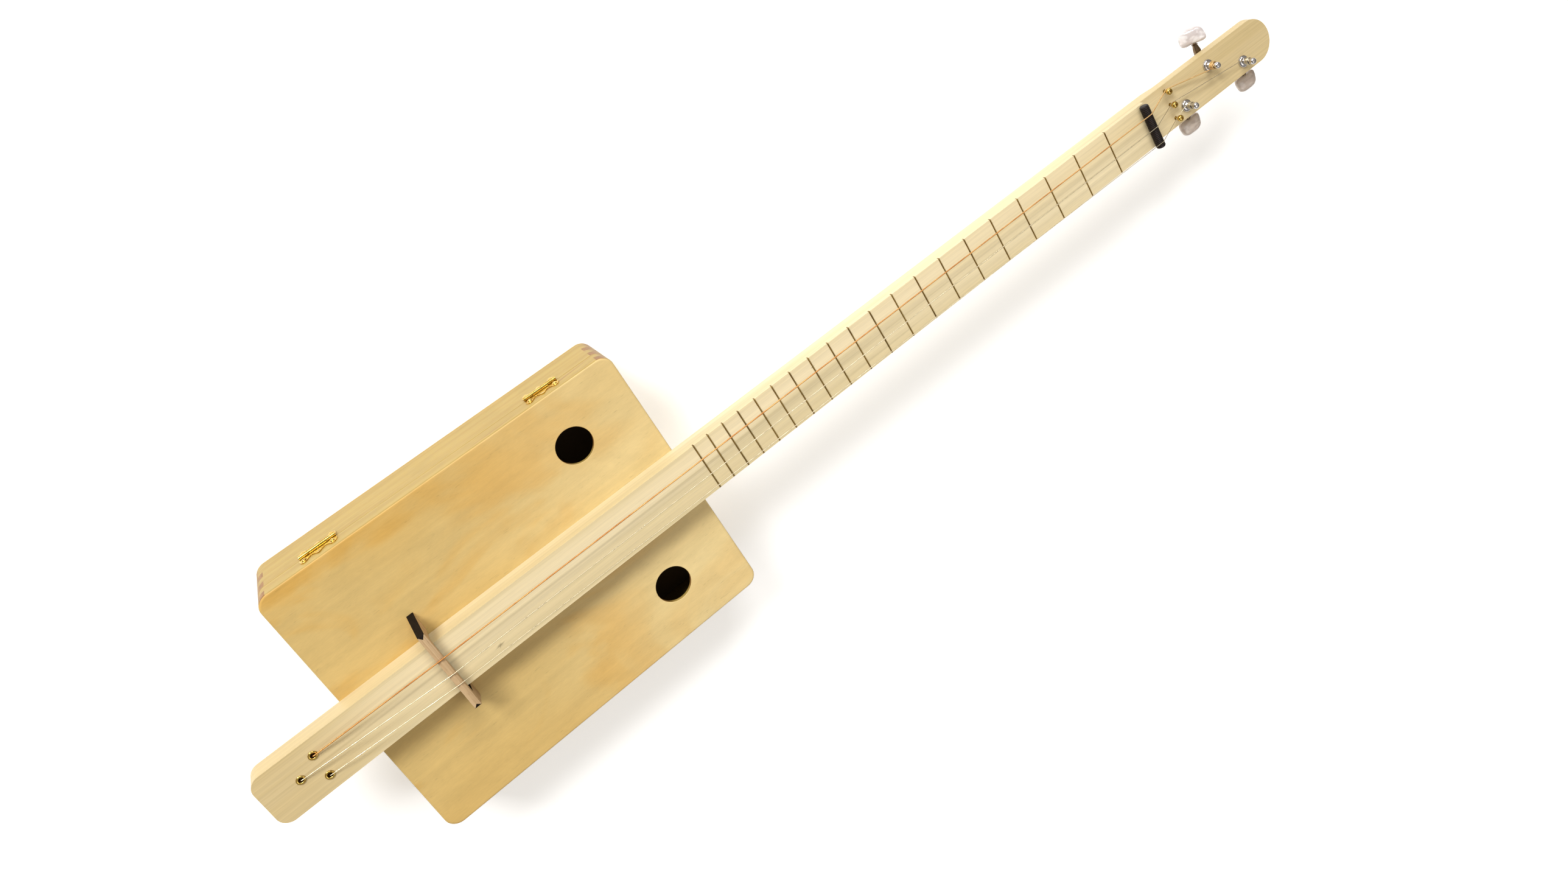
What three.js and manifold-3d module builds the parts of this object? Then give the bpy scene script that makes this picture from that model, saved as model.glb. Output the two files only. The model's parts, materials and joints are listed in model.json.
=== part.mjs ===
// Three-string cigar box guitar: a finger-jointed pine box with a hinged lid, a plain stick neck
// screwed on top of the lid, a threaded-rod nut and three open-gear tuners.
// Millimetres. The origin is the centre of the box's bottom face, +X runs along the neck to the
// head, +Y is the hinge side of the box and +Z is up out of the soundboard.

import * as THREE from "three";
import { mergeGeometries, mergeVertices } from "three/addons/utils/BufferGeometryUtils.js";
import Module from "manifold-3d";

const wasm = await Module();
wasm.setup();

// Box
const boxLength = 251;
const boxWidth = 205;
const boxHeight = 56;
const boxCornerRadius = 9;
const wallThickness = 8;
const bottomThickness = 3;
const soundboardThickness = 3;
const lidDepth = 15;
const lidGap = 0.3;
const soundHoleRadius = 12.7;

// Hinges
const hingeLength = 24.5;
const hingeLeafDepth = 9.6;
const hingeLeafThickness = 0.8;
const hingeBarrelRadius = 1.45;
const hingeBarrelStandoff = 0.1;
const hingePinRadius = 0.7;
const hingePlay = 0.3;
const hingeMiddleKnuckle = 11.6;

// Neck
const neckWidth = 37.4;
const neckThickness = 16;
const tailOverhang = 62.1;
const tailCornerRadius = 8;
const headFaceDrop = 4.5;
const headThickness = 9;
const headLength = 158;
const headEndDepth = 18.5;
const headStepFromRod = 3.9;
const headRampStart = 12;
const headRampLength = 12;

// Scale, frets, nut and bridge
const scaleLength = 635;
const bridgeFromTailEnd = 61.05;
const compensation = 1;
const fretCount = 20;
const fretWidth = 1.1;
const fretHeight = 0.8;
const fretTangWidth = 0.5;
const fretTangDepth = 2;
const fretSlotPlay = 0.2;
const nutRodRadius = 3.97;
const nutRodFromLine = 5.65;
const nutRodLength = 38.5;
const nutRodShift = -1.05;
const nutRodChamfer = 1.2;
const nutSeat = 0.05;
const bridgeThickness = 4.6;
const bridgeFootHalf = 37.2;
const bridgeShoulderHalf = 31;
const bridgeShoulderHeight = 23.8;
const bridgeHeight = 24.7;
const bridgeHip = 2.8;
const bridgeSlotHalf = 23.2;
const bridgeSlotPlay = 2.2;

// Strings: the lowest is wound bronze, the others are plain steel
const stringRadii = [0.46, 0.3, 0.25];
const stringAtBridge = [10.6, -2.1, -10.5];
const stringAtNut = [10.1, -1.9, -15.6];
const windingTurns = [3.25, 3.25, 3.25];
const windingPlay = 0.44;
const stringSeat = 0.15;
const stringJoint = 0.3;
const ballRadius = 1.9;
const ballHeight = 2.4;

// Eyelets in the tail of the neck
const eyeletFromTail = [36.4, 23.2, 36.2];
const eyeletY = [8.2, 0.2, -8.9];
const eyeletFlangeRadius = 2.9;
const eyeletFlangeHeight = 0.9;
const eyeletSleeveRadius = 2;
const eyeletSleeveDepth = 5;
const eyeletBoreRadius = 1.5;
const stringHoleRadius = 1.2;

// Retainer screws behind the nut
const retainerFromLine = 36;
const retainerY = [13.2, 0.7, -12];
const retainerShankRadius = 1.3;
const retainerShankDepth = 5.5;
const retainerHeadRadius = 2.8;
const retainerHeadHeight = 2.8;
const retainerHeadLift = 4.8;

// Tuners, in string order: place counted from the nut, and the side that the shaft leaves on
const tunerFirstFromLine = 50;
const tunerSpacing = 35.5;
const tunerSlots = [1, 2, 0];
const tunerSides = [1, -1, -1];
const tunerRowOffset = 8.35;
const buttonTurns = [-38, 0, 0];
const postRadius = 3;
const postWaistRadius = 2.4;
const postWaistStart = 4.2;
const postWaistEnd = 10.1;
const postBlend = 0.8;
const postShoulderEnd = 12.2;
const postHeight = 14;
const postHoleRadius = 0.9;
const postHoleHeight = 8.6;
const postSlantStart = 11.6;
const postSlantAngle = 32;
const fitPlay = 0.3;
const windingStart = 4.9;
const bushingFlangeRadius = 5.3;
const bushingFlangeHeight = 2.7;
const bushingSleeveRadius = 4;
const bushingSleeveDepth = 6;

// Base plate, worm and gear of a tuner
const plateThickness = 1;
const plateWidth = 15;
const plateBack = 11.5;
const plateFront = 17.5;
const plateCornerRadius = 4;
const plateScrewRadius = 1.3;
const plateScrewInset = 2.9;
const shaftDrop = 5;
const gearTeeth = 15;
const gearModule = 0.64;
const gearThickness = 4.4;
const gearRootDepth = 0.76;
const gearTipHeight = 0.6;
const wormPitchRadius = 2.6;
const wormRootDepth = 0.78;
const wormTipHeight = 0.55;
const wormTurns = 3.5;
const lugCentre = 6.2;
const lugThickness = 1.4;
const lugHalfWidth = 3.5;
const shaftRadius = 1.5;
const shaftTailLength = 1.2;
const shaftTailRadius = 2.2;
const ferruleCollarRadius = 3.6;
const ferruleBellyRadius = 3.9;
const ferruleBelly = 10.2;
const ferruleNeckRadius = 2.4;
const ferruleNeck = 15.4;
const ferruleFlareRadius = 3;
const buttonStart = 16.7;
const buttonDepth = 14;
const buttonLength = 23;
const buttonThickness = 7.6;
const buttonRound = 2.8;
const buttonBoreDepth = 8;

// Overruns and counts of facets
const overrun = 1;
const cornerFacets = 5;
const holeFacets = 48;
const splineSteps = 2;
const turnedFacets = 16;
const smallFacets = 14;
const wormFacets = 12;
const bushingFacets = 20;
const crownFacets = 4;
const bendSteps = 3;
const stringSides = 8;
const windingSides = 6;
const loopSteps = 24;

// Shares: outlines and tooth shapes as parts of the sizes that they follow
const hingeOutlineShares = [
  [-1, 0.3], [-1.02, 0.62], [-0.9, 0.95], [-0.7, 0.98], [-0.52, 0.66], [-0.36, 0.52],
  [-0.2, 0.72], [0, 0.98], [0.2, 0.72], [0.36, 0.52], [0.52, 0.66], [0.7, 0.98], [0.9, 0.95],
  [1.02, 0.62], [1, 0.3],
];
const buttonOutlineShares = [
  [-0.5, 0], [-0.98, 0.1], [-1, 0.5], [-0.86, 0.86], [-0.45, 1], [0, 1.02],
  [0.45, 1], [0.86, 0.86], [1, 0.5], [0.98, 0.1], [0.5, 0], [0, 0.03],
];
const gearToothShares = [[0.08, 0], [0.31, 1], [0.69, 1], [0.92, 0]];
const hingePlaceShares = [0.313, -0.324];
const soundHoleShares = [0.2996, 0.3073];
const wormRootShare = 0.31;
const wormTipShare = 0.1;
const thirdShare = 1 / 3;
const eyeletLipShare = 0.35;
const headCrownShares = [0.45, 0.83];
const bushingDomeShares = [[1, 0], [1, 0.25], [0.9, 0.62], [0.74, 0.9]];

// Places worked out from the sizes
const half = 0.5;
const seamHeight = boxHeight - lidDepth;
const trayTop = seamHeight - lidGap * half;
const lidBottom = seamHeight + lidGap * half;
const lidSidesTop = boxHeight - soundboardThickness;
const hingeWall = boxWidth * half;
const hingePlaces = hingePlaceShares.map((share) => share * boxLength);
const [soundHoleX, soundHoleY] = [soundHoleShares[0] * boxLength, soundHoleShares[1] * boxWidth];
const hingeAxisY = hingeWall + hingeBarrelStandoff + hingeBarrelRadius;
const boxTail = -boxLength * half;
const neckTail = boxTail - tailOverhang;
const neckBottom = boxHeight;
const neckTop = neckBottom + neckThickness;
const neckHalf = neckWidth * half;
const bridgeX = boxTail + bridgeFromTailEnd;
const nutLine = bridgeX + compensation + scaleLength;
const nutRodX = nutLine + nutRodFromLine;
const headStepX = nutRodX + headStepFromRod;
const headFace = neckTop - headFaceDrop;
const headBack = headFace - headThickness;
const headEnd = nutLine + headLength;
const rodCentreZ = neckTop + nutSeat + nutRodRadius;
const ridgeZ = neckBottom + bridgeHeight;
const retainerX = nutLine + retainerFromLine;
const retainerUnderZ = headFace + retainerHeadLift;
const shaftZ = headBack - shaftDrop;
const plateBottom = headBack - plateThickness;
const gearPitchRadius = gearModule * gearTeeth * half;
const wormLead = Math.PI * gearModule;
const shaftOffset = gearPitchRadius + wormPitchRadius;
const lugOuter = lugCentre + lugThickness * half;
const windingRadius = (index) => postWaistRadius + stringSeat + stringRadii[index];
const windingPitch = (index) => 2 * stringRadii[index] + windingPlay;
const tunerX = (index) => nutLine + tunerFirstFromLine + tunerSlots[index] * tunerSpacing;
const tunerY = (index) => tunerSides[index] * tunerRowOffset;
const fretX = (number) => nutLine - scaleLength * (1 - 2 ** (-number / 12));
const eyeletX = (index) => neckTail + eyeletFromTail[index];

const materials = {
  box: new THREE.MeshStandardMaterial({ color: 0xe3c88a, roughness: 0.6 }),
  neck: new THREE.MeshStandardMaterial({ color: 0xe6d5a4, roughness: 0.55 }),
  bridge: new THREE.MeshStandardMaterial({ color: 0xc9a181, roughness: 0.7 }),
  brass: new THREE.MeshStandardMaterial({ color: 0xc9a84c, roughness: 0.25, metalness: 1 }),
  chrome: new THREE.MeshStandardMaterial({ color: 0xd8d8dc, roughness: 0.08, metalness: 1 }),
  black: new THREE.MeshStandardMaterial({ color: 0x1a1817, roughness: 0.5, metalness: 0.6 }),
  nickel: new THREE.MeshStandardMaterial({ color: 0x9a958c, roughness: 0.3, metalness: 1 }),
  pearl: new THREE.MeshStandardMaterial({ color: 0xcfc3bb, roughness: 0.25 }),
  bronze: new THREE.MeshStandardMaterial({ color: 0xb87838, roughness: 0.35, metalness: 1 }),
  steel: new THREE.MeshStandardMaterial({ color: 0xc4c4c4, roughness: 0.25, metalness: 1 }),
};

const guitar = new THREE.Group();

// Booleans: a closed geometry becomes a solid, and a solid becomes a geometry again

function toSolid(geometry) {
  const bare = geometry.clone();
  bare.deleteAttribute("normal");
  bare.deleteAttribute("uv");
  const merged = mergeVertices(bare);
  const vertProperties = new Float32Array(merged.attributes.position.array);
  const triVerts = new Uint32Array(merged.index.array);
  return new wasm.Manifold(new wasm.Mesh({ numProp: 3, vertProperties, triVerts }));
}

function fromSolid(solid) {
  const mesh = solid.getMesh();
  const geometry = new THREE.BufferGeometry();
  geometry.setAttribute("position", new THREE.BufferAttribute(mesh.vertProperties, 3));
  geometry.setIndex(new THREE.BufferAttribute(mesh.triVerts, 1));
  geometry.computeVertexNormals();
  return geometry;
}

function join(...geometries) {
  return fromSolid(geometries.map(toSolid).reduce((sum, piece) => sum.add(piece)));
}

function cut(body, ...tools) {
  return fromSolid(tools.map(toSolid).reduce((rest, tool) => rest.subtract(tool), toSolid(body)));
}

function common(first, second) {
  return fromSolid(toSolid(first).intersect(toSolid(second)));
}

// Basic forms

function polygon(points) {
  return new THREE.Shape(points.map(([x, y]) => new THREE.Vector2(x, y)));
}

function roundedRectangle(xStart, xEnd, halfWidth, radius) {
  const shape = new THREE.Shape();
  shape.absarc(xEnd - radius, -halfWidth + radius, radius, -Math.PI / 2, 0);
  shape.absarc(xEnd - radius, halfWidth - radius, radius, 0, Math.PI / 2);
  shape.absarc(xStart + radius, halfWidth - radius, radius, Math.PI / 2, Math.PI);
  shape.absarc(xStart + radius, -halfWidth + radius, radius, Math.PI, 1.5 * Math.PI);
  return shape;
}

function prismZ(shape, zStart, height, curveSegments = cornerFacets) {
  const geometry = new THREE.ExtrudeGeometry(shape, { depth: height, bevelEnabled: false, curveSegments });
  return geometry.translate(0, 0, zStart);
}

// A shape drawn as (y, z), carried along +X
function prismX(shape, xStart, length) {
  const turn = new THREE.Matrix4().set(0, 0, 1, xStart, 1, 0, 0, 0, 0, 1, 0, 0, 0, 0, 0, 1);
  return prismZ(shape, 0, length).applyMatrix4(turn);
}

// A shape drawn as (x, z), carried along -Y from yEnd
function prismY(shape, yEnd, length, curveSegments = cornerFacets) {
  const turn = new THREE.Matrix4().set(1, 0, 0, 0, 0, 0, -1, yEnd, 0, 1, 0, 0, 0, 0, 0, 1);
  return prismZ(shape, 0, length, curveSegments).applyMatrix4(turn);
}

// A profile of (radius, height) pairs, from the bottom up, turned about +Z
function turned(profile, facets = turnedFacets) {
  const points = profile.map(([radius, height]) => new THREE.Vector2(radius, height));
  return new THREE.LatheGeometry(points, facets).rotateX(Math.PI / 2);
}

function rod(radius, zStart, zEnd, facets = smallFacets) {
  return turned([[0, zStart], [radius, zStart], [radius, zEnd], [0, zEnd]], facets);
}

// A closed skin over rings of points, each seen counterclockwise from the far end
function loft(rings) {
  const sides = rings[0].length;
  const centre = (ring) => ring.reduce((sum, p) => sum.add(p), new THREE.Vector3()).divideScalar(sides);
  const last = (rings.length - 1) * sides;
  const points = [...rings.flat(), centre(rings[0]), centre(rings[rings.length - 1])];
  const startCentre = rings.length * sides;
  const endCentre = startCentre + 1;
  const faces = [];
  for (let side = 0; side < sides; side += 1) {
    const next = (side + 1) % sides;
    for (let base = 0; base < last; base += sides) {
      faces.push(base + side, base + next, base + sides + side);
      faces.push(base + next, base + sides + next, base + sides + side);
    }
    faces.push(startCentre, next, side);
    faces.push(endCentre, last + side, last + next);
  }
  const geometry = new THREE.BufferGeometry().setFromPoints(points);
  geometry.setIndex(faces);
  geometry.computeVertexNormals();
  return geometry;
}

// A round tube through points, its section carried along without twist
function tube(points, radius, sides) {
  let across = new THREE.Vector3(0, 0, 1);
  const rings = points.map((point, index) => {
    const before = points[Math.max(index - 1, 0)];
    const after = points[Math.min(index + 1, points.length - 1)];
    const into = new THREE.Vector3().subVectors(point, before).normalize();
    const out = new THREE.Vector3().subVectors(after, point).normalize();
    const along = new THREE.Vector3().addVectors(into, out).normalize();
    if (index === 0 && Math.abs(along.z) > Math.SQRT1_2) across = new THREE.Vector3(1, 0, 0);
    across = across.clone().addScaledVector(along, -across.dot(along)).normalize();
    const up = new THREE.Vector3().crossVectors(along, across);
    return Array.from({ length: sides }, (_, side) => {
      const angle = (2 * Math.PI * side) / sides;
      return point.clone()
        .addScaledVector(across, radius * Math.cos(angle))
        .addScaledVector(up, radius * Math.sin(angle));
    });
  });
  return loft(rings);
}

// The same piece seen in a mirror across y = 0, with its faces turned out again
function mirrored(geometry) {
  const copy = geometry.index ? geometry.clone() : mergeVertices(geometry);
  copy.scale(1, -1, 1);
  const index = copy.index.array;
  for (let face = 0; face < index.length; face += 3) {
    [index[face], index[face + 1]] = [index[face + 1], index[face]];
  }
  copy.computeVertexNormals();
  return copy;
}

function place(name, geometry, material, parent = guitar) {
  const mesh = new THREE.Mesh(geometry, materials[material]);
  mesh.name = name;
  parent.add(mesh);
  return mesh;
}

// Box: walls of the tray and of the lid, bottom and soundboard

function boxOutline() {
  return roundedRectangle(boxTail, -boxTail, hingeWall, boxCornerRadius);
}

function boxWalls(zStart, height) {
  const outline = boxOutline();
  const innerX = -boxTail - wallThickness;
  const innerY = hingeWall - wallThickness;
  outline.holes.push(new THREE.Path([
    new THREE.Vector2(-innerX, -innerY), new THREE.Vector2(-innerX, innerY),
    new THREE.Vector2(innerX, innerY), new THREE.Vector2(innerX, -innerY),
  ]));
  return prismZ(outline, zStart, height);
}

function soundboard() {
  const hole = rod(soundHoleRadius, lidSidesTop - overrun, boxHeight + overrun, holeFacets);
  return cut(
    prismZ(boxOutline(), lidSidesTop, soundboardThickness),
    hole.clone().translate(soundHoleX, soundHoleY, 0),
    hole.clone().translate(soundHoleX, -soundHoleY, 0),
  );
}

function buildBox() {
  place("bottom_panel", prismZ(boxOutline(), 0, bottomThickness), "box");
  place("box_sides", boxWalls(bottomThickness, trayTop - bottomThickness), "box");
  place("lid_sides", boxWalls(lidBottom, lidSidesTop - lidBottom), "box");
  place("soundboard", soundboard(), "box");
}

// Hinges: scalloped leaves with rolled knuckles, drawn about the pin along X

function leafPlate(direction) {
  const reach = hingeLength * half;
  const rim = hingeOutlineShares.map(([x, z]) => (
    new THREE.Vector2(x * reach, direction * z * hingeLeafDepth)
  ));
  const shape = new THREE.Shape();
  shape.moveTo(-reach, 0);
  shape.lineTo(rim[0].x, rim[0].y);
  shape.splineThru(rim.slice(1));
  shape.lineTo(reach, 0);
  const outer = hingeWall + hingeLeafThickness - hingeAxisY;
  return prismY(shape, outer, hingeLeafThickness, splineSteps);
}

function barrel(radius, xStart, xEnd) {
  return rod(radius, xStart, xEnd).rotateY(Math.PI / 2);
}

function buildHinge(name, x) {
  const reach = hingeLength * half;
  const inner = hingeMiddleKnuckle * half;
  const outer = inner + hingePlay;
  const clear = hingeBarrelRadius + hingePlay;
  const group = new THREE.Group();
  group.position.set(x, hingeAxisY, seamHeight);
  const middleRelief = barrel(clear, -outer, outer);
  const endReliefs = [barrel(clear, -reach - overrun, -inner), barrel(clear, inner, reach + overrun)];
  const boxLeaf = join(
    cut(leafPlate(-1), middleRelief),
    barrel(hingeBarrelRadius, -reach, -outer),
    barrel(hingeBarrelRadius, outer, reach),
    barrel(hingePinRadius, -reach, reach),
  );
  const lidLeaf = cut(
    join(cut(leafPlate(1), ...endReliefs), barrel(hingeBarrelRadius, -inner, inner)),
    barrel(hingePinRadius + hingePlay * half, -outer, outer),
  );
  place(`${name}_box_leaf`, boxLeaf, "brass", group);
  place(`${name}_lid_leaf`, lidLeaf, "brass", group);
  guitar.add(group);
}

// Neck: side profile with the stepped and thinned head, crossed with the plan outline

function neckProfile() {
  const rampStart = headStepX + headRampStart;
  return polygon([
    [neckTail, neckBottom], [rampStart, neckBottom], [rampStart + headRampLength, headBack],
    [headEnd, headBack], [headEnd, headFace], [headStepX, headFace], [headStepX, neckTop],
    [neckTail, neckTop],
  ]);
}

function neckPlan() {
  const shape = new THREE.Shape();
  const squareEnd = neckTail + tailCornerRadius;
  shape.absarc(squareEnd, neckHalf - tailCornerRadius, tailCornerRadius, Math.PI / 2, Math.PI);
  shape.absarc(squareEnd, tailCornerRadius - neckHalf, tailCornerRadius, Math.PI, 1.5 * Math.PI);
  shape.absellipse(headEnd - headEndDepth, 0, headEndDepth, neckHalf, -Math.PI / 2, Math.PI / 2);
  return shape;
}

function neckHoles() {
  const holes = [];
  for (let index = 0; index < stringRadii.length; index += 1) {
    const sleeve = eyeletSleeveRadius + fitPlay;
    const bore = rod(stringHoleRadius, neckBottom - overrun, neckTop + overrun);
    const seat = rod(sleeve, neckTop - eyeletSleeveDepth - fitPlay, neckTop + overrun);
    const screw = rod(retainerShankRadius + fitPlay, headFace - retainerShankDepth - fitPlay, neckTop);
    const post = rod(bushingSleeveRadius + fitPlay, headBack - overrun, neckTop, turnedFacets);
    holes.push(bore.translate(eyeletX(index), eyeletY[index], 0));
    holes.push(seat.translate(eyeletX(index), eyeletY[index], 0));
    holes.push(screw.translate(retainerX, retainerY[index], 0));
    holes.push(post.translate(tunerX(index), tunerY(index), 0));
  }
  return holes;
}

function fretSlots() {
  const slotHalf = fretTangWidth * half + fretSlotPlay;
  const slot = polygon([
    [-slotHalf, neckTop - fretTangDepth - fretSlotPlay], [slotHalf, neckTop - fretTangDepth - fretSlotPlay],
    [slotHalf, neckTop + overrun], [-slotHalf, neckTop + overrun],
  ]);
  return Array.from({ length: fretCount }, (_, index) => (
    prismY(slot, neckHalf + overrun, neckWidth + 2 * overrun).translate(fretX(index + 1), 0, 0)
  ));
}

function buildNeck() {
  const stick = common(
    prismY(neckProfile(), neckHalf, neckWidth),
    prismZ(neckPlan(), headBack - neckThickness, 2 * neckThickness + headThickness, smallFacets),
  );
  place("neck", cut(stick, ...neckHoles(), ...fretSlots()), "neck");
}

function buildFrets() {
  const crown = fretWidth * half;
  const tang = fretTangWidth * half;
  const section = new THREE.Shape();
  section.moveTo(-tang, -fretTangDepth);
  section.lineTo(tang, -fretTangDepth);
  section.lineTo(tang, 0);
  section.lineTo(crown, 0);
  section.absellipse(0, 0, crown, fretHeight, 0, Math.PI);
  section.lineTo(-tang, 0);
  for (let number = 1; number <= fretCount; number += 1) {
    const bar = prismY(section, neckHalf, neckWidth, crownFacets);
    const label = String(number).padStart(2, "0");
    place(`fret_${label}`, bar, "brass").position.set(fretX(number), 0, neckTop);
  }
}

function buildNut() {
  const reach = nutRodLength * half;
  const narrow = nutRodRadius - nutRodChamfer;
  const profile = [
    [0, -reach], [narrow, -reach], [nutRodRadius, nutRodChamfer - reach],
    [nutRodRadius, reach - nutRodChamfer], [narrow, reach], [0, reach],
  ];
  const bar = turned(profile, loopSteps).rotateX(Math.PI / 2);
  place("nut_rod", bar, "black").position.set(nutRodX, nutRodShift, rodCentreZ);
}

// Bridge: a board astride the neck, its top planed to a low ridge with a hip at each end

function buildBridge() {
  const front = polygon([
    [-bridgeFootHalf, 0], [-bridgeSlotHalf, 0], [-bridgeSlotHalf, neckThickness + bridgeSlotPlay],
    [bridgeSlotHalf, neckThickness + bridgeSlotPlay], [bridgeSlotHalf, 0], [bridgeFootHalf, 0],
    [bridgeShoulderHalf, bridgeShoulderHeight], [bridgeShoulderHalf - bridgeHip, bridgeHeight],
    [bridgeHip - bridgeShoulderHalf, bridgeHeight], [-bridgeShoulderHalf, bridgeShoulderHeight],
  ]);
  const side = bridgeThickness * half;
  const section = polygon([
    [-side, 0], [side, 0], [side, bridgeShoulderHeight], [0, bridgeHeight], [-side, bridgeShoulderHeight],
  ]);
  const board = common(
    prismX(front, -side, bridgeThickness),
    prismY(section, bridgeFootHalf, 2 * bridgeFootHalf),
  );
  place("bridge", board, "bridge").position.set(bridgeX, 0, neckBottom);
}

// Eyelets and retainer screws

function buildEyelets() {
  const lip = eyeletFlangeHeight * eyeletLipShare;
  const profile = [
    [eyeletBoreRadius, -eyeletSleeveDepth], [eyeletSleeveRadius, -eyeletSleeveDepth],
    [eyeletSleeveRadius, 0], [eyeletFlangeRadius, 0], [eyeletFlangeRadius, lip],
    [eyeletFlangeRadius - lip, eyeletFlangeHeight], [eyeletBoreRadius + lip, eyeletFlangeHeight],
    [eyeletBoreRadius, lip], [eyeletBoreRadius, -eyeletSleeveDepth],
  ];
  for (let index = 0; index < eyeletY.length; index += 1) {
    const eyelet = place(`string_eyelet_${index + 1}`, turned(profile), "brass");
    eyelet.position.set(eyeletX(index), eyeletY[index], neckTop);
  }
}

function buildRetainers() {
  const [rim, shoulder] = headCrownShares.map((share) => retainerHeadLift + retainerHeadHeight * share);
  const profile = [
    [0, -retainerShankDepth], [retainerShankRadius, -retainerShankDepth],
    [retainerShankRadius, retainerHeadLift], [retainerHeadRadius, retainerHeadLift],
    [retainerHeadRadius, rim], [retainerHeadRadius * Math.SQRT1_2, shoulder],
    [0, retainerHeadLift + retainerHeadHeight],
  ];
  for (let index = 0; index < retainerY.length; index += 1) {
    const screw = place(`string_retainer_${index + 1}`, turned(profile, smallFacets), "brass");
    screw.position.set(retainerX, retainerY[index], headFace);
  }
}

// Strings: from the ball end up through the eyelet, over bridge and nut, under the retainer's
// head and on to the post, where the winding takes over

// How steeply a string falls from the top of the nut to the near rim of its retainer's head
function stringFall(index) {
  const seat = stringRadii[index] + stringSeat;
  const drop = rodCentreZ + nutRodRadius + seat - (retainerUnderZ - seat);
  return drop / (retainerX - retainerHeadRadius - nutRodX);
}

function stringOnPost(index) {
  const radius = windingRadius(index);
  const turn = tunerSides[index];
  const start = new THREE.Vector3(
    retainerX,
    retainerY[index] + retainerShankRadius + stringRadii[index] + fitPlay,
    retainerUnderZ - stringRadii[index] - stringSeat - retainerHeadRadius * stringFall(index),
  );
  const post = new THREE.Vector3(tunerX(index), tunerY(index), headFace + windingStart);
  const distance = Math.hypot(post.x - start.x, post.y - start.y);
  const heading = Math.atan2(post.y - start.y, post.x - start.x) - turn * Math.asin(radius / distance);
  const touch = new THREE.Vector3(
    post.x + radius * turn * Math.sin(heading),
    post.y - radius * turn * Math.cos(heading),
    post.z,
  );
  const sweptOut = radius + stringRadii[index] + stringJoint;
  const sweptIn = radius - stringRadii[index];
  const lead = Math.sqrt(sweptOut ** 2 - sweptIn ** 2);
  const along = new THREE.Vector3().subVectors(touch, start).normalize();
  return { start, post, touch, along, lead, heading, turn, radius };
}

function softBend(before, corner, after, reach) {
  const from = corner.clone().addScaledVector(before.clone().sub(corner).normalize(), reach);
  const to = corner.clone().addScaledVector(after.clone().sub(corner).normalize(), reach);
  return new THREE.QuadraticBezierCurve3(from, corner, to).getPoints(bendSteps);
}

function stringRoute(index) {
  const radius = stringRadii[index];
  const x = eyeletX(index);
  const y = eyeletY[index];
  const ball = new THREE.Vector3(x, y, neckBottom - stringJoint - ballHeight * half);
  const lip = new THREE.Vector3(x, y, neckTop + eyeletFlangeHeight + radius + stringSeat);
  const ridge = new THREE.Vector3(bridgeX, stringAtBridge[index], ridgeZ + radius + stringSeat);
  const { start, touch, along, lead } = stringOnPost(index);
  const wrap = nutRodRadius + radius + stringSeat;
  const crest = nutRodX + wrap * Math.tan(Math.atan(stringFall(index)) * half);
  const nut = new THREE.Vector3(crest, stringAtNut[index], rodCentreZ + wrap);
  const end = touch.clone().addScaledVector(along, -lead);
  return [
    ball, ...softBend(ball, lip, ridge, 2 * radius), ridge, nut,
    ...softBend(nut, start, end, 2 * radius), end,
  ];
}

function buildStrings() {
  for (let index = 0; index < stringRadii.length; index += 1) {
    const wire = tube(stringRoute(index), stringRadii[index], stringSides);
    const ballTop = neckBottom - stringJoint;
    const ball = rod(ballRadius, ballTop - ballHeight, ballTop);
    ball.translate(eyeletX(index), eyeletY[index], 0);
    place(`string_${index + 1}`, join(wire, ball), index === 0 ? "bronze" : "steel");
  }
}

function windingRoute(index) {
  const { post, touch, along, lead, heading, turn, radius } = stringOnPost(index);
  const points = [touch.clone().addScaledVector(along, stringJoint - lead)];
  const startAngle = heading - (turn * Math.PI) / 2;
  const steps = Math.round(windingTurns[index] * loopSteps);
  for (let step = 0; step <= steps; step += 1) {
    const angle = startAngle + (turn * 2 * Math.PI * step) / loopSteps;
    const height = (windingPitch(index) * step) / loopSteps;
    points.push(new THREE.Vector3(
      post.x + radius * Math.cos(angle),
      post.y + radius * Math.sin(angle),
      post.z + height,
    ));
  }
  const last = points[points.length - 1];
  const before = points[points.length - 2];
  const direction = last.clone().sub(before).normalize();
  points.push(last.clone().addScaledVector(direction, 2 * stringRadii[index]));
  return points;
}

// The least gap of a wound tube to itself, from points a third of a loop or more apart
function leastGap(points, radius) {
  let least = Infinity;
  for (let first = 0; first < points.length; first += 1) {
    for (let second = first + loopSteps * thirdShare; second < points.length; second += 1) {
      least = Math.min(least, points[first].distanceTo(points[second]));
    }
  }
  return least - 2 * radius;
}

function buildWindings() {
  for (let index = 0; index < stringRadii.length; index += 1) {
    const route = windingRoute(index);
    const gap = leastGap(route, stringRadii[index]);
    console.log(`winding_${index + 1}: least gap to itself ${gap.toFixed(2)} mm`);
    const wire = tube(route, stringRadii[index], windingSides);
    place(`winding_${index + 1}`, wire, index === 0 ? "bronze" : "steel");
  }
}

// Tuners, drawn about the string post with the head's back at its real height.
// The shaft leaves towards +Y here, and the tuners of the other side are mirrored.

function bushing() {
  const bore = postRadius + fitPlay;
  const dome = bushingDomeShares.map(([radius, height]) => (
    [radius * bushingFlangeRadius, height * bushingFlangeHeight]
  ));
  const profile = [
    [bore, -bushingSleeveDepth], [bushingSleeveRadius, -bushingSleeveDepth], [bushingSleeveRadius, 0],
    ...dome, [bore, bushingFlangeHeight], [bore, -bushingSleeveDepth],
  ];
  return turned(profile, bushingFacets).translate(0, 0, headFace);
}

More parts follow.
